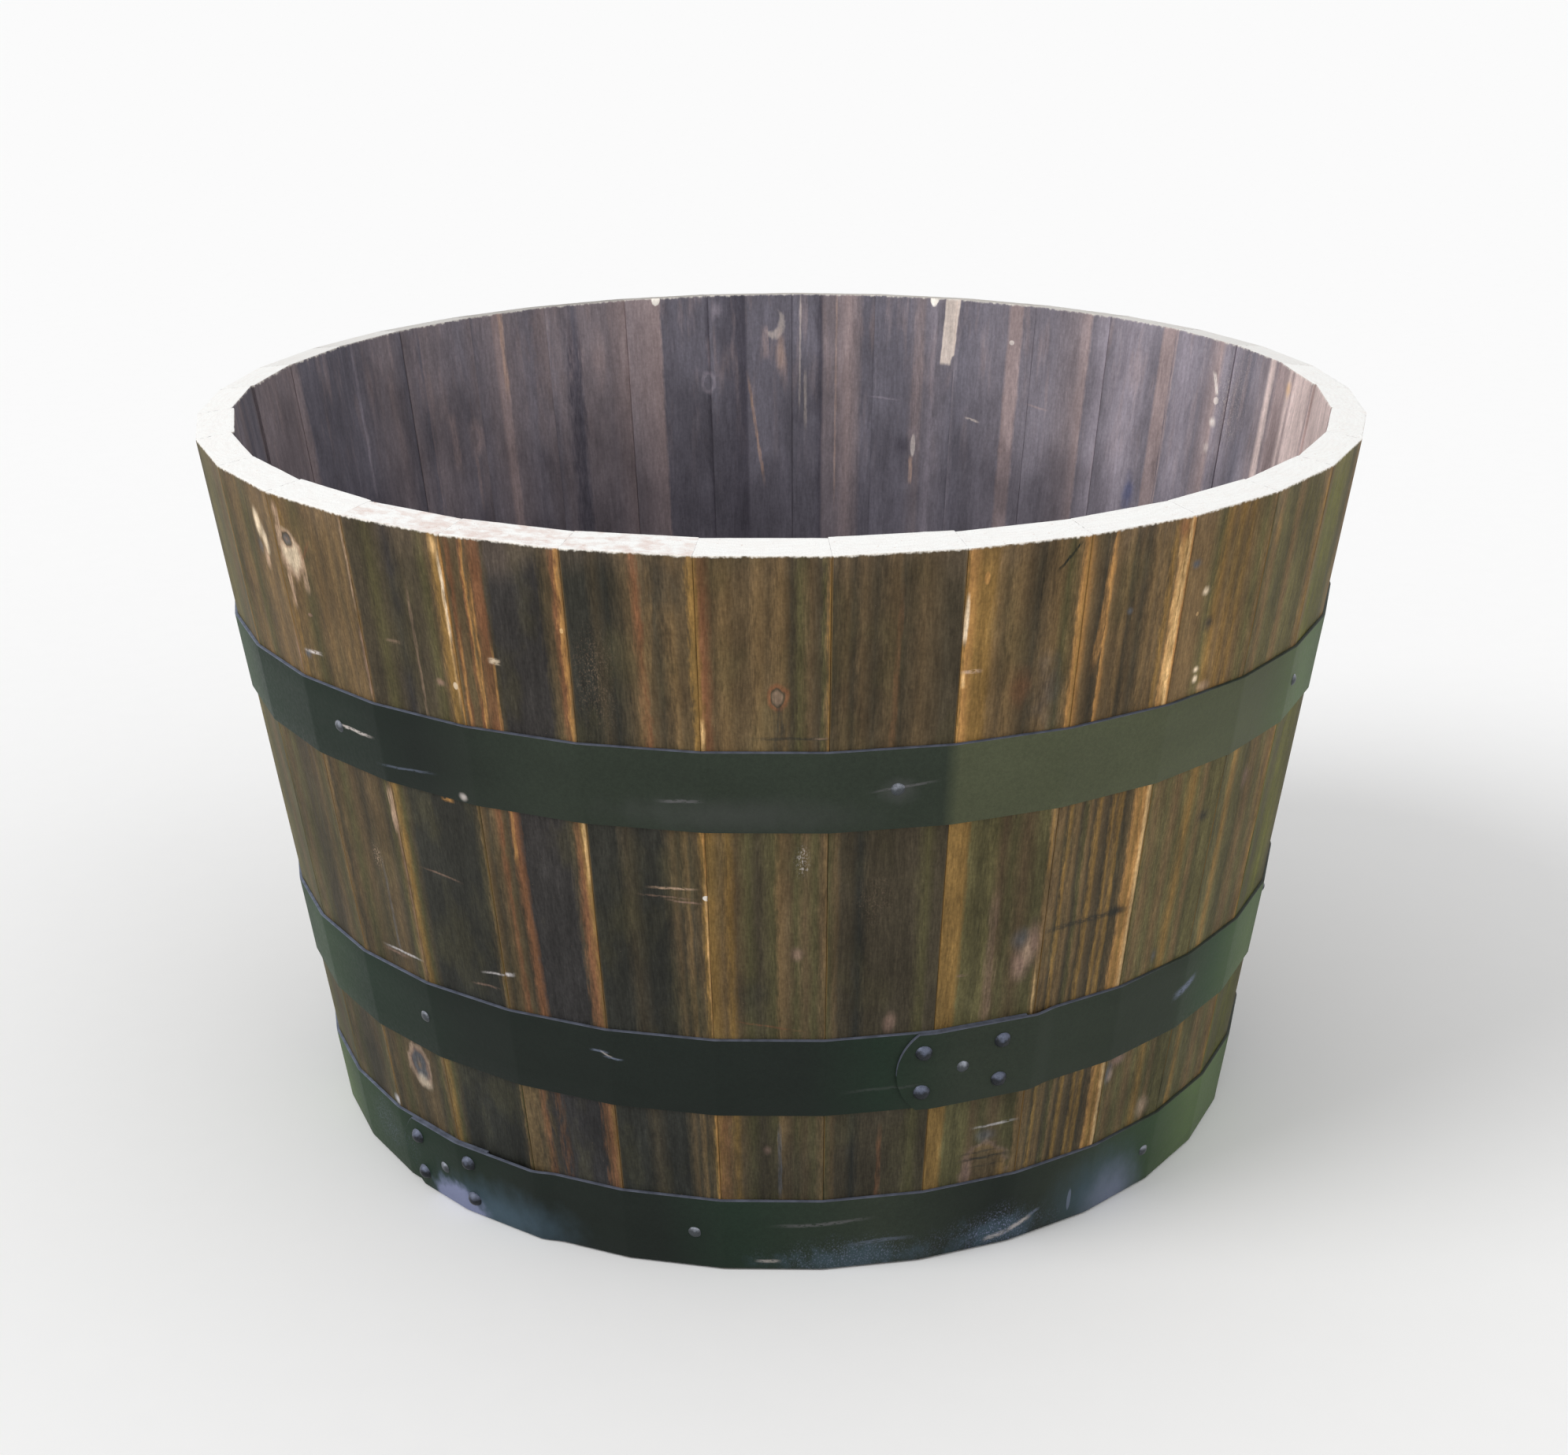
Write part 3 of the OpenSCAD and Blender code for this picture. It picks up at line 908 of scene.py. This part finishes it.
# The materials of a stave, in the order of its slots
OUTSIDE, END, INSIDE = range(3)
ARRIS = 0.9
RIM_ARRIS = 1.2
COLUMN_INSETS = (0.03, 0.3, 0.7, 1.2, 2.4)
COLUMNS_INSIDE = 28
PAST_ARRIS = 99
SLOPE_ROWS, END_ROWS, INNER_ROWS, FOOT_ROWS = 44, 12, 40, 6
THICKNESS_CHANGES = (-1.3, -0.8, -0.4, 0.0, 0.3, 0.7)


def arris_drop(distance, radius):
    """How far a rounded edge falls back at a distance from the corner."""
    if distance >= radius:
        return 0.0
    return radius - math.sqrt(radius * radius - (radius - distance) ** 2)


def chipped(x, row, seed):
    """How far the saw has broken a rim's edge away at a place across the stave."""
    breaks = max(0.0, rough(x / 5.5, row, 0, seed) - 0.3)
    return ARRIS * max(0.15, 0.4 + 0.25 * rough(x / 14, row + 5, 0, seed) + 1.7 * breaks)


def stave_loop(seed, thick, edge_distance, x):
    """One cross-section of a stave as (distance from the axis, height), and its materials."""
    side = arris_drop(edge_distance, ARRIS)
    chip, chip_in = chipped(x, 0, seed), chipped(x, 9, seed)
    ups = [0.0, 0.35, 0.9, 2] + [2 + (SLOPE - 4) * k / SLOPE_ROWS for k in range(1, SLOPE_ROWS + 1)]
    ups += [SLOPE - 1.1, SLOPE - 0.6, SLOPE - 0.25]
    loop = []
    for up in ups:
        wave = 0.13 + 0.13 * rough(x / 22, up / 130, 0, seed) + 0.05 * rough(x / 3, up / 60, 3, seed)
        back = max(side, wave) + arris_drop(up, ARRIS) + arris_drop(SLOPE - up, RIM_ARRIS) * chip
        loop.append(on_slope(up, -back))
    for k in range(END_ROWS + 1):
        out = -chip - (thick - chip - chip_in) * k / END_ROWS
        saw = 0.1 + 0.1 * rough(x / 9, out / 2.2, 0, seed + 2) + 0.12 * rough(x / 2, out / 1.6, 4, seed)
        loop.append(on_slope(SLOPE - saw - 0.1, out))
    kinds = [OUTSIDE] * (len(ups) - 1) + [END] * (END_ROWS + 2)
    top = on_slope(SLOPE, -thick)[1]
    lift = THICKNESS - thick
    heights = [top - 0.3, top - 0.9, top - 1.6, top - 3]
    heights += [top - 3 - (top - 3 - GROOVE_HIGH) * k / INNER_ROWS for k in range(1, INNER_ROWS)]
    for z in heights:
        wave = 0.15 * rough(x / 22, z / 130, 7, seed) + 0.05 * rough(x / 3, z / 60, 8, seed)
        edge = arris_drop(top - z, RIM_ARRIS) * chip_in
        loop.append((inner_face(z) + lift + side * 0.12 + edge + wave, z))
    floor = inner_face(GROOVE_LOW) + GROOVE_DEPTH
    loop += [
        (inner_face(GROOVE_HIGH) + lift, GROOVE_HIGH),
        (floor, GROOVE_HIGH),
        (floor, GROOVE_LOW),
        (inner_face(GROOVE_LOW), GROOVE_LOW),
        (inner_face(16), 16),
        (inner_face(1), 1),
    ]
    kinds += [INSIDE] * (len(loop) - len(kinds))
    loop += [(inner_face(0) + 0.8 + k * (THICKNESS - 2) / FOOT_ROWS, 0) for k in range(FOOT_ROWS)]
    return loop, kinds + [END] * FOOT_ROWS


def build_stave(number):
    seed = number * 1.37
    thick = THICKNESS + random.Random(number * 13).choice(THICKNESS_CHANGES)
    deepest = COLUMN_INSETS[-1]
    # Each column's share of the half width, what that width loses for the place and for the
    # noise, and the distance to the joint
    columns = [(-1, inset, 0, inset) for inset in COLUMN_INSETS]
    shares = [-1 + 2 * k / COLUMNS_INSIDE for k in range(1, COLUMNS_INSIDE)]
    columns += [(share, deepest, deepest, PAST_ARRIS) for share in shares]
    columns += [(1, inset, 0, inset) for inset in reversed(COLUMN_INSETS)]
    loops, points = [], []
    middle_width = FOOT_APOTHEM * math.tan(HALF_PITCH)
    for share, inset, noise_inset, distance in columns:
        loop, kinds = stave_loop(seed, thick, distance, share * (middle_width - noise_inset))
        loops.append(loop)
        for radius, height in loop:
            across = share * (radius * math.tan(HALF_PITCH) - inset)
            points.append(ring_point(stave_angle(number), across, radius, height))
    # The joint faces take the inside's grey, so that no dark line shows at a joint inside
    kinds = kinds * (len(loops) - 1) + [INSIDE, INSIDE]
    materials = [outer_wood(number), end_wood(number), inner_wood(number)]
    piece = new_piece(f"stave_{number:02d}_wood", points, join_loops(loops), materials, 50, kinds)
    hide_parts(f"stave_{number:02d}")


# ---- Hoops

HOOP_RADIUS = 300
# The tones round each hoop, by angle: dark green paint, with painted reflection that makes it lighter and
# greener towards the sides, and a painted step near 15 degrees on the top hoop
HOOP_PAINT_AND_REFLECTION_TONES = {
    "top": "-180 pine -110 bottle -70 fern -62 bottle -35 soot -20 pine 14.6 pine 15.1 ivy 52 ivy "
        "64 grass 80 pine 180 pine",
    "middle": "-180 pine -110 bottle -64 fern -52 bottle -35 soot 2 soot 10 bottle 18 pine 46 pine "
        "54 fern 66 grass 80 pine 120 bottle 180 pine",
    "bottom": "-180 soot -98 bottle -80 fern -72 grass -62 fern -46 bottle -30 soot -14 soot "
        "-5 bottle 10 pine 24 soot 34 pine 46 fern 56 grass 66 grass 82 pine 130 bottle 180 soot",
}
# The hoops' upper edges: worn steel, with a painted highlight, pale and bluish, on the left, and painted
# shade, dark green, on the right
EDGE_WEAR_AND_LIGHT_TONES = "-180 steel -75 mist -25 steel 34 steel 45 pine 90 pine 180 steel"
HOOP_MARKS = {
    "top": table("""
-43.6 281 scuff 32 1.5 bone 0 0.8
-37 269 scuff 40 1.2 mist 0.08 0.5
-30.2 262 patch 6 5 bone 0.7
-9 275 scuff 24 1.6 slate 0.05 0.8
10.5 281 scuff 34 1.3 slate 0.12 0.7
10.2 279 patch 20 16 slate 0.3
-4 268 patch 150 26 slate 0.2 0.6
"""),
    "middle": table("""
-18.8 129.5 scuff 12 1.2 mist 0 0.8
-18 128 scuff 8 1.2 bone -0.5 0.4
-17.4 126.5 scuff 12 1.2 mist -0.1 0.8
48.2 122 scuff 24 5 mist 0.25 0.9
10 112 scuff 50 1.6 slate 0.05 0.2
"""),
    # Painted reflections on the bottom hoop: its teal patches, the oval at -41 degrees and the pale patch at
    # 41 degrees. The specks, spot and scuffs are dust and scratches
    "bottom": table("""
-34 6 patch 130 50 teal 0.9 0.5
-41 2 knot 56 32 blue 0.9
-54 24 crackle 70 44 mist 0.8
38 12 patch 90 70 teal 0.7 0.4
41 2 patch 64 60 mist 1 0.5
34 14 spot 3 15 mist 0.7
24 8 patch 80 26 teal 0.7 2
24 9 crackle 90 36 haze 0.8
27 10 scuff 20 3 bone 0.3 0.5
24 6 scuff 16 3 bone 0.2 0.4
29 14 scuff 10 2 mist 0.4 0.6
8 5 patch 110 22 teal 0.6 2
8 7 crackle 120 30 mist 0.8
10 16 scuff 44 2.4 mist 0.05 0.4
-2 6 scuff 16 2 bone 0 0.4
4 30 scuff 60 2 slate 0.05 0.7
"""),
}


class Band(Graph):
    """The steel of a hoop. x runs round the tub from the front, and turn from 0 to 1."""

    def __init__(self, name):
        super().__init__(name)
        angle = self.math("ARCTAN2", self.x, self.y * -1)
        self.x = angle * HOOP_RADIUS
        self.turn = angle / (2 * math.pi) + 0.5


def paint(name):
    """Dark green paint on steel, dusty and scratched, with painted reflection towards the sides."""
    band = Band(f"{name}_hoop_paint")
    blotch = band.noise((0.015, 0.015, 0.03), 3, 3)
    dust = band.noise(0.5, 5, 5)
    grit = band.noise(1.4, 7)
    colour = band.ramp(band.turn, stops(HOOP_PAINT_AND_REFLECTION_TONES[name], -180, 180))
    colour = band.shade(colour, blotch.contrast(0.1) * dust.contrast(0.1) * grit.contrast(0.07))
    for angle, height, kind, *sizes in HOOP_MARKS[name]:
        colour = getattr(band, kind)(colour, math.radians(angle) * HOOP_RADIUS, height, *sizes)
    return band.finish(colour, dust.contrast(0.12) * 0.55, 0.1, grit * 0.3 + band.noise(0.3, 9), 0.1)


def edge_wear_and_light():
    band = Band("hoop_edge")
    wear = band.noise((0.2, 0.2, 0.4), 2, 3)
    colour = band.ramp(band.turn, stops(EDGE_WEAR_AND_LIGHT_TONES, -180, 180))
    return band.finish(band.shade(colour, wear.contrast(0.25)), 0.55, 0.2, wear, 0.1)


# Distances along the strip from a joint, for the stations that round its bend there
BEND_OFFSETS = (2.4, 1.2, 0, -1.2, -2.4)
BEND_DEPTH = 0.05
FACE_SHARES = (0.35, 0.65)
RAMP_STEPS, LAP_END_STEPS = 8, 20
NARROWEST_HALF = 1.2
STRIP_EDGE = 0.35
# The sides of the strip's section that make its upper edge
UPPER_EDGE = (7, 8, 9)


def strip_point(angle, up, out, bend):
    """Point on a strip that follows the staves' flat faces."""
    radius, height = on_slope(up, out)
    radius = radius / math.cos(math.radians(angle - nearest_stave_angle(angle))) - bend
    return ring_point(angle, 0, radius, height)


def bend_stations(step, up, lift, half):
    stations = []
    for offset in BEND_OFFSETS:
        bend = BEND_DEPTH * (1 - abs(offset) / BEND_OFFSETS[0])
        stations.append((joint_angle(step) + span_angle(offset, up), lift, half, bend))
    return stations


def face_stations(step, lift, half):
    return [(joint_angle(step) - PITCH * share, lift, half, 0) for share in FACE_SHARES]


def hoop_stations(middle, width, lap_angle):
    """Angle, lift, half width and bend of each station, from the inner end to the outer."""
    inner_end = lap_angle + span_angle(LAP_LENGTH / 2, middle)
    outer_end = lap_angle - span_angle(LAP_LENGTH / 2, middle) - 360
    first = stave_steps(inner_end)
    last = first - STAVE_COUNT
    half = width / 2
    stations = [(inner_end, 0, half, 0)]
    for step in range(first - 1, last, -1):
        if step < first - 1 or joint_angle(step) < inner_end - 1:
            stations += bend_stations(step, middle, 0, half)
        stations += face_stations(step, 0, half)
    # The strip climbs onto its own inner end, and goes on over it
    ramp_start = joint_angle(last) + span_angle(LAP_RAMP, middle)
    for k in range(RAMP_STEPS + 1):
        share = k / RAMP_STEPS
        eased = share * share * (3 - 2 * share)
        angle = ramp_start + (joint_angle(last) - ramp_start) * share
        stations.append((angle, LAP_LIFT * eased, half, 0))
    for step in range(last, stave_steps(outer_end) - 1, -1):
        if step < last:
            stations += bend_stations(step, middle, LAP_LIFT, half)
        stations += face_stations(step, LAP_LIFT, half)
    # The outer end is rounded off
    sweep = math.asin(half / LAP_END_RADIUS)
    arc = []
    for k in range(LAP_END_STEPS + 1):
        turn = sweep * (1 - k / LAP_END_STEPS)
        back = LAP_END_RADIUS * (1 - math.cos(turn))
        half_here = max(LAP_END_RADIUS * math.sin(turn), NARROWEST_HALF)
        arc.append((outer_end + span_angle(back, middle), LAP_LIFT, half_here, 0))
    return [s for s in stations if s[0] > arc[0][0] + 0.01] + arc


def strip_section(middle, half, lift, angle, seed):
    """Corner points of the strip's section as (up, out), with softened outer corners."""
    edge, thick = STRIP_EDGE, HOOP_THICKNESS
    wave = 0.08 * rough(angle / 9, 0, 0, seed)
    low, high = middle - half + wave, middle + half + wave
    inside = max(half - edge, 0.1)
    section = [(low, 0), (low, thick - edge), (low + edge * 0.3, thick - edge * 0.3)]
    section += [(middle + inside * share, thick) for share in (-1, -0.5, 0, 0.5, 1)]
    section += [(high - edge * 0.3, thick - edge * 0.3), (high, thick - edge), (high, 0)]
    return [
        (up, lift + out + 0.06 * rough(angle / 6, up / 25, 4, seed) * (out > 0))
        for up, out in section
    ]


def build_hoop(name, materials):
    middle, width, lap_angle, _ = HOOPS[name]
    loops, points = [], []
    for angle, lift, half, bend in hoop_stations(middle, width, lap_angle):
        section = strip_section(middle, half, lift, angle, len(name))
        loops.append(section)
        points += [strip_point(angle, up, out, bend) for up, out in section]
    kinds = [int(k in UPPER_EDGE) for k in range(len(section))] * (len(loops) - 1) + [1, 1]
    piece = new_piece(f"{name}_hoop_strip", points, join_loops(loops), materials, 28, kinds)
    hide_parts(f"{name}_hoop")


# ---- Rivets and nails

SEGMENTS, DOME_STEPS = 28, 9
# Radius and height of the head, radius of the shank
RIVET_HEAD, NAIL_HEAD = (4.25, 3.2, 2), (3.25, 1.5, 1.5)
NAIL_DEPTH = 15.5


def steel(name, dark, light, seed):
    """Weathered steel, with painted light: lighter where it faces up and darker below."""
    graph = Graph(name, seed=seed)
    patina = graph.noise(0.35, 0, 3)
    grain = graph.noise(1.8, 1)
    _, _, upward = graph.split(graph.node("ShaderNodeNewGeometry", {}).outputs["Normal"])
    # Painted highlight on the upward faces, painted shade on the lower ones
    painted_light = (upward + (patina - 0.5) * 1.6).smooth(-0.1, 0.8)
    colour = graph.shade(graph.blend(painted_light, dark, light), grain.contrast(0.2))
    return graph.finish(colour, patina.contrast(0.2) * 0.45, 0.3, grain, 0.15, 0.35)


def face_place(angle, up, lift):
    """Matrix that stands +Z out of the nearest stave's face, with +X along the hoop."""
    stave = nearest_stave_angle(angle)
    a = math.radians(stave)
    radial, along = Vector((math.sin(a), -math.cos(a), 0)), Vector((math.cos(a), math.sin(a), 0))
    normal = radial * math.cos(TAPER) - Vector((0, 0, 1)) * math.sin(TAPER)
    upward = radial * math.sin(TAPER) + Vector((0, 0, 1)) * math.cos(TAPER)
    radius, height = on_slope(up, lift)
    across = on_slope(up, 0)[0] * math.tan(math.radians(angle) - a)
    return standing(Vector(ring_point(stave, across, radius, height)), along, upward, normal)


def turned(profile, place, seed, uneven):
    """Points and faces of a profile of (radius, height) turned about a place's +Z."""
    loops = []
    for radius, height in profile:
        loop = []
        for k in range(SEGMENTS):
            c, s = math.cos(2 * math.pi * k / SEGMENTS), math.sin(2 * math.pi * k / SEGMENTS)
            r = radius * (1 + uneven * rough(c, s, height / 3, seed))
            dent = uneven * 1.5 * rough(c * radius / 3, s * radius / 3, 9, seed) * (height > 0.2)
            loop.append(place @ Vector((r * c, r * s, height + dent)))
        loops.append(loop)
    return sum(loops, []), join_loops(loops)


def dome(radius, height, shank, depth):
    """Half outline of a fastener, from its shank's end to the top of its head."""
    ball = (radius * radius + height * height) / (2 * height)
    profile = [(shank * 0.3, -depth), (shank, -depth + min(2, depth / 2)), (shank, 0), (radius * 0.985, 0.0)]
    for k in range(DOME_STEPS):
        a = math.asin(radius / ball) * (1 - k / DOME_STEPS)
        profile.append((ball * math.sin(a), height - ball + ball * math.cos(a) if k else 0.12))
    return profile + [(0.25, height)]


def build_fasteners(name, node, places, profile, material, uneven):
    points, faces = [], []
    for number, place in enumerate(places):
        more, new_faces = turned(profile, place, number + len(name), uneven)
        faces += [tuple(v + len(points) for v in face) for face in new_faces]
        points += more
    piece = new_piece(name, points, faces, [material], 50)
    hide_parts(node)


def build_hoop_fasteners(name, rivet_steel, nail_steel):
    middle, _, lap_angle, others = HOOPS[name]
    top = HOOP_THICKNESS + LAP_LIFT
    reach = span_angle(RIVET_ALONG / 2, middle)
    places = [
        face_place(lap_angle + side * reach, middle + edge * RIVET_ACROSS / 2, top)
        for side in (-1, 1)
        for edge in (-1, 1)
    ]
    rivet, nail = dome(*RIVET_HEAD, top), dome(*NAIL_HEAD, NAIL_DEPTH)
    build_fasteners(f"{name}_lap_rivet_heads", f"{name}_lap_rivets", places, rivet, rivet_steel, 0.05)
    places = [face_place(lap_angle, middle, top)]
    places += [face_place(angle, middle, HOOP_THICKNESS) for angle in others]
    build_fasteners(f"{name}_hoop_nail_heads", f"{name}_hoop_nails", places, nail, nail_steel, 0.09)


# ---- Head

HEAD_BOARD_TONES = (0.95, 1.14, 0.88, 1.06, 0.82, 1.1)
HEAD_BEVEL = 0.7


def head_wood(name, number):
    graph = Graph(name, seed=number * 11)
    lines = graph.noise((0.7, 0.008, 0.7), 0, 3)
    bands = graph.noise((0.1, 0.004, 0.1), 1, 3)
    stain = graph.noise((0.03, 0.02, 0.03), 2, 4)
    colour = graph.blend(bands.smooth(0.35, 0.7), "head_dark", "head_light")
    tone = lines.contrast(0.2) * stain.contrast(0.22)
    colour = graph.shade(colour, tone * HEAD_BOARD_TONES[number - 1])
    return graph.finish(colour, 0.65, 0.15, lines, 0.3)


def build_head_board(number):
    """The board's solid with its edges eased."""
    name = f"head_board_{number}_wood"
    shape = bmesh.new()
    shape.from_mesh(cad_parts[f"head_board_{number}"].data)
    bmesh.ops.remove_doubles(shape, verts=shape.verts, dist=1e-5)
    bmesh.ops.dissolve_limit(shape, angle_limit=math.radians(1.0), verts=shape.verts, edges=shape.edges)
    sharp = [e for e in shape.edges if len(e.link_faces) == 2 and e.calc_face_angle() > math.radians(40)]
    bmesh.ops.bevel(shape, geom=sharp, offset=HEAD_BEVEL * MM, segments=2, profile=0.5, affect="EDGES")
    bmesh.ops.triangulate(shape, faces=shape.faces)
    mesh = bpy.data.meshes.new(name)
    mesh.materials.append(head_wood(name, number))
    piece = add_piece(name, shape, mesh, 30)
    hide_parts(f"head_board_{number}")


def dowel_wood():
    graph = Graph("dowel_wood")
    lines = graph.noise((0.01, 1.5, 1.5), 1, 3)
    return graph.finish(graph.blend(lines, "dowel_dark", "dowel_light"), 0.6, 0.3, lines, 0.2)


# ---- Camera, floor and light

CAMERA_PLACE, CAMERA_TARGET, CAMERA_ROLL = (0.67, -1303.1, 686.8), (0.67, 0, 198.4), -0.4
FOCAL_LENGTH, SENSOR_WIDTH = 54.26, 36
FLOOR_REACH = 60000
AMBIENT = 0.7
# name: (towards the lamp, strength, width of its disc in degrees)
LAMPS = {"key": ((-0.75, -0.35, 0.75), 0.38, 30), "fill": ((0.8, -0.5, 0.6), 0.10, 60)}


def set_camera():
    spot, target = Vector(CAMERA_PLACE) * MM, Vector(CAMERA_TARGET) * MM
    roll = math.radians(CAMERA_ROLL)
    forward = (target - spot).normalized()
    level = forward.cross(Vector((0, 0, 1))).normalized()
    upright = level.cross(forward)
    right = level * math.cos(roll) + upright * math.sin(roll)
    up = upright * math.cos(roll) - level * math.sin(roll)
    data = bpy.data.cameras.new("camera")
    data.lens, data.sensor_width, data.sensor_fit = FOCAL_LENGTH, SENSOR_WIDTH, "HORIZONTAL"
    camera = add_object("camera", data)
    camera.matrix_world = standing(spot, right, up, -forward)
    bpy.context.scene.camera = camera


def set_floor():
    mesh = bpy.data.meshes.new("floor")
    side = FLOOR_REACH * MM
    corners = [(-side, -side, 0), (side, -side, 0), (side, side, 0), (-side, side, 0)]
    mesh.from_pydata(corners, [], [(0, 1, 2, 3)])
    graph = Graph("floor")
    colour = graph.blend(graph.noise(0.05, 1, 3), "floor_dark", "floor_light")
    mesh.materials.append(graph.finish(colour, 0.9, 0.0))
    floor = add_object("floor", mesh)


def set_world():
    """An even light round the tub, and white wherever the camera sees it."""
    world = bpy.data.worlds.new("studio")
    bpy.context.scene.world = world
    world.use_nodes = True
    sky = Nodes(world.node_tree)
    rays = sky.node("ShaderNodeLightPath", {}).outputs
    seen = sky.math("MAXIMUM", rays["Is Camera Ray"], rays["Is Glossy Ray"])
    seen = sky.math("MAXIMUM", seen, rays["Is Transmission Ray"])
    background = world.node_tree.nodes["Background"]
    sky.feed(background, {"Color": (1, 1, 1, 1), "Strength": seen.spread(0, 1, AMBIENT, 1)})


def set_lamp(name, direction, strength, width):
    data = bpy.data.lights.new(name, "SUN")
    data.energy, data.angle = strength * math.pi, math.radians(width)
    lamp = add_object(name, data)
    lamp.rotation_euler = (-Vector(direction)).to_track_quat("-Z", "Y").to_euler()


set_camera()
set_floor()
set_world()
for lamp_name, lamp_settings in LAMPS.items():
    set_lamp(lamp_name, *lamp_settings)

for stave_number in range(1, STAVE_COUNT + 1):
    build_stave(stave_number)

edge_material = edge_wear_and_light()
rivet_material = steel("rivet_steel", "rivet_dark", "rivet_light", 4)
nail_material = steel("nail_steel", "nail_dark", "nail_light", 8)
for hoop_name in HOOPS:
    build_hoop(hoop_name, [paint(hoop_name), edge_material])
    build_hoop_fasteners(hoop_name, rivet_material, nail_material)

for board_number in range(1, len(HEAD_BOARD_TONES) + 1):
    build_head_board(board_number)

dowel_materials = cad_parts["head_dowels"].data.materials
dowel_materials.clear()
dowel_materials.append(dowel_wood())

scene = bpy.context.scene
scene.view_settings.view_transform = "Standard"
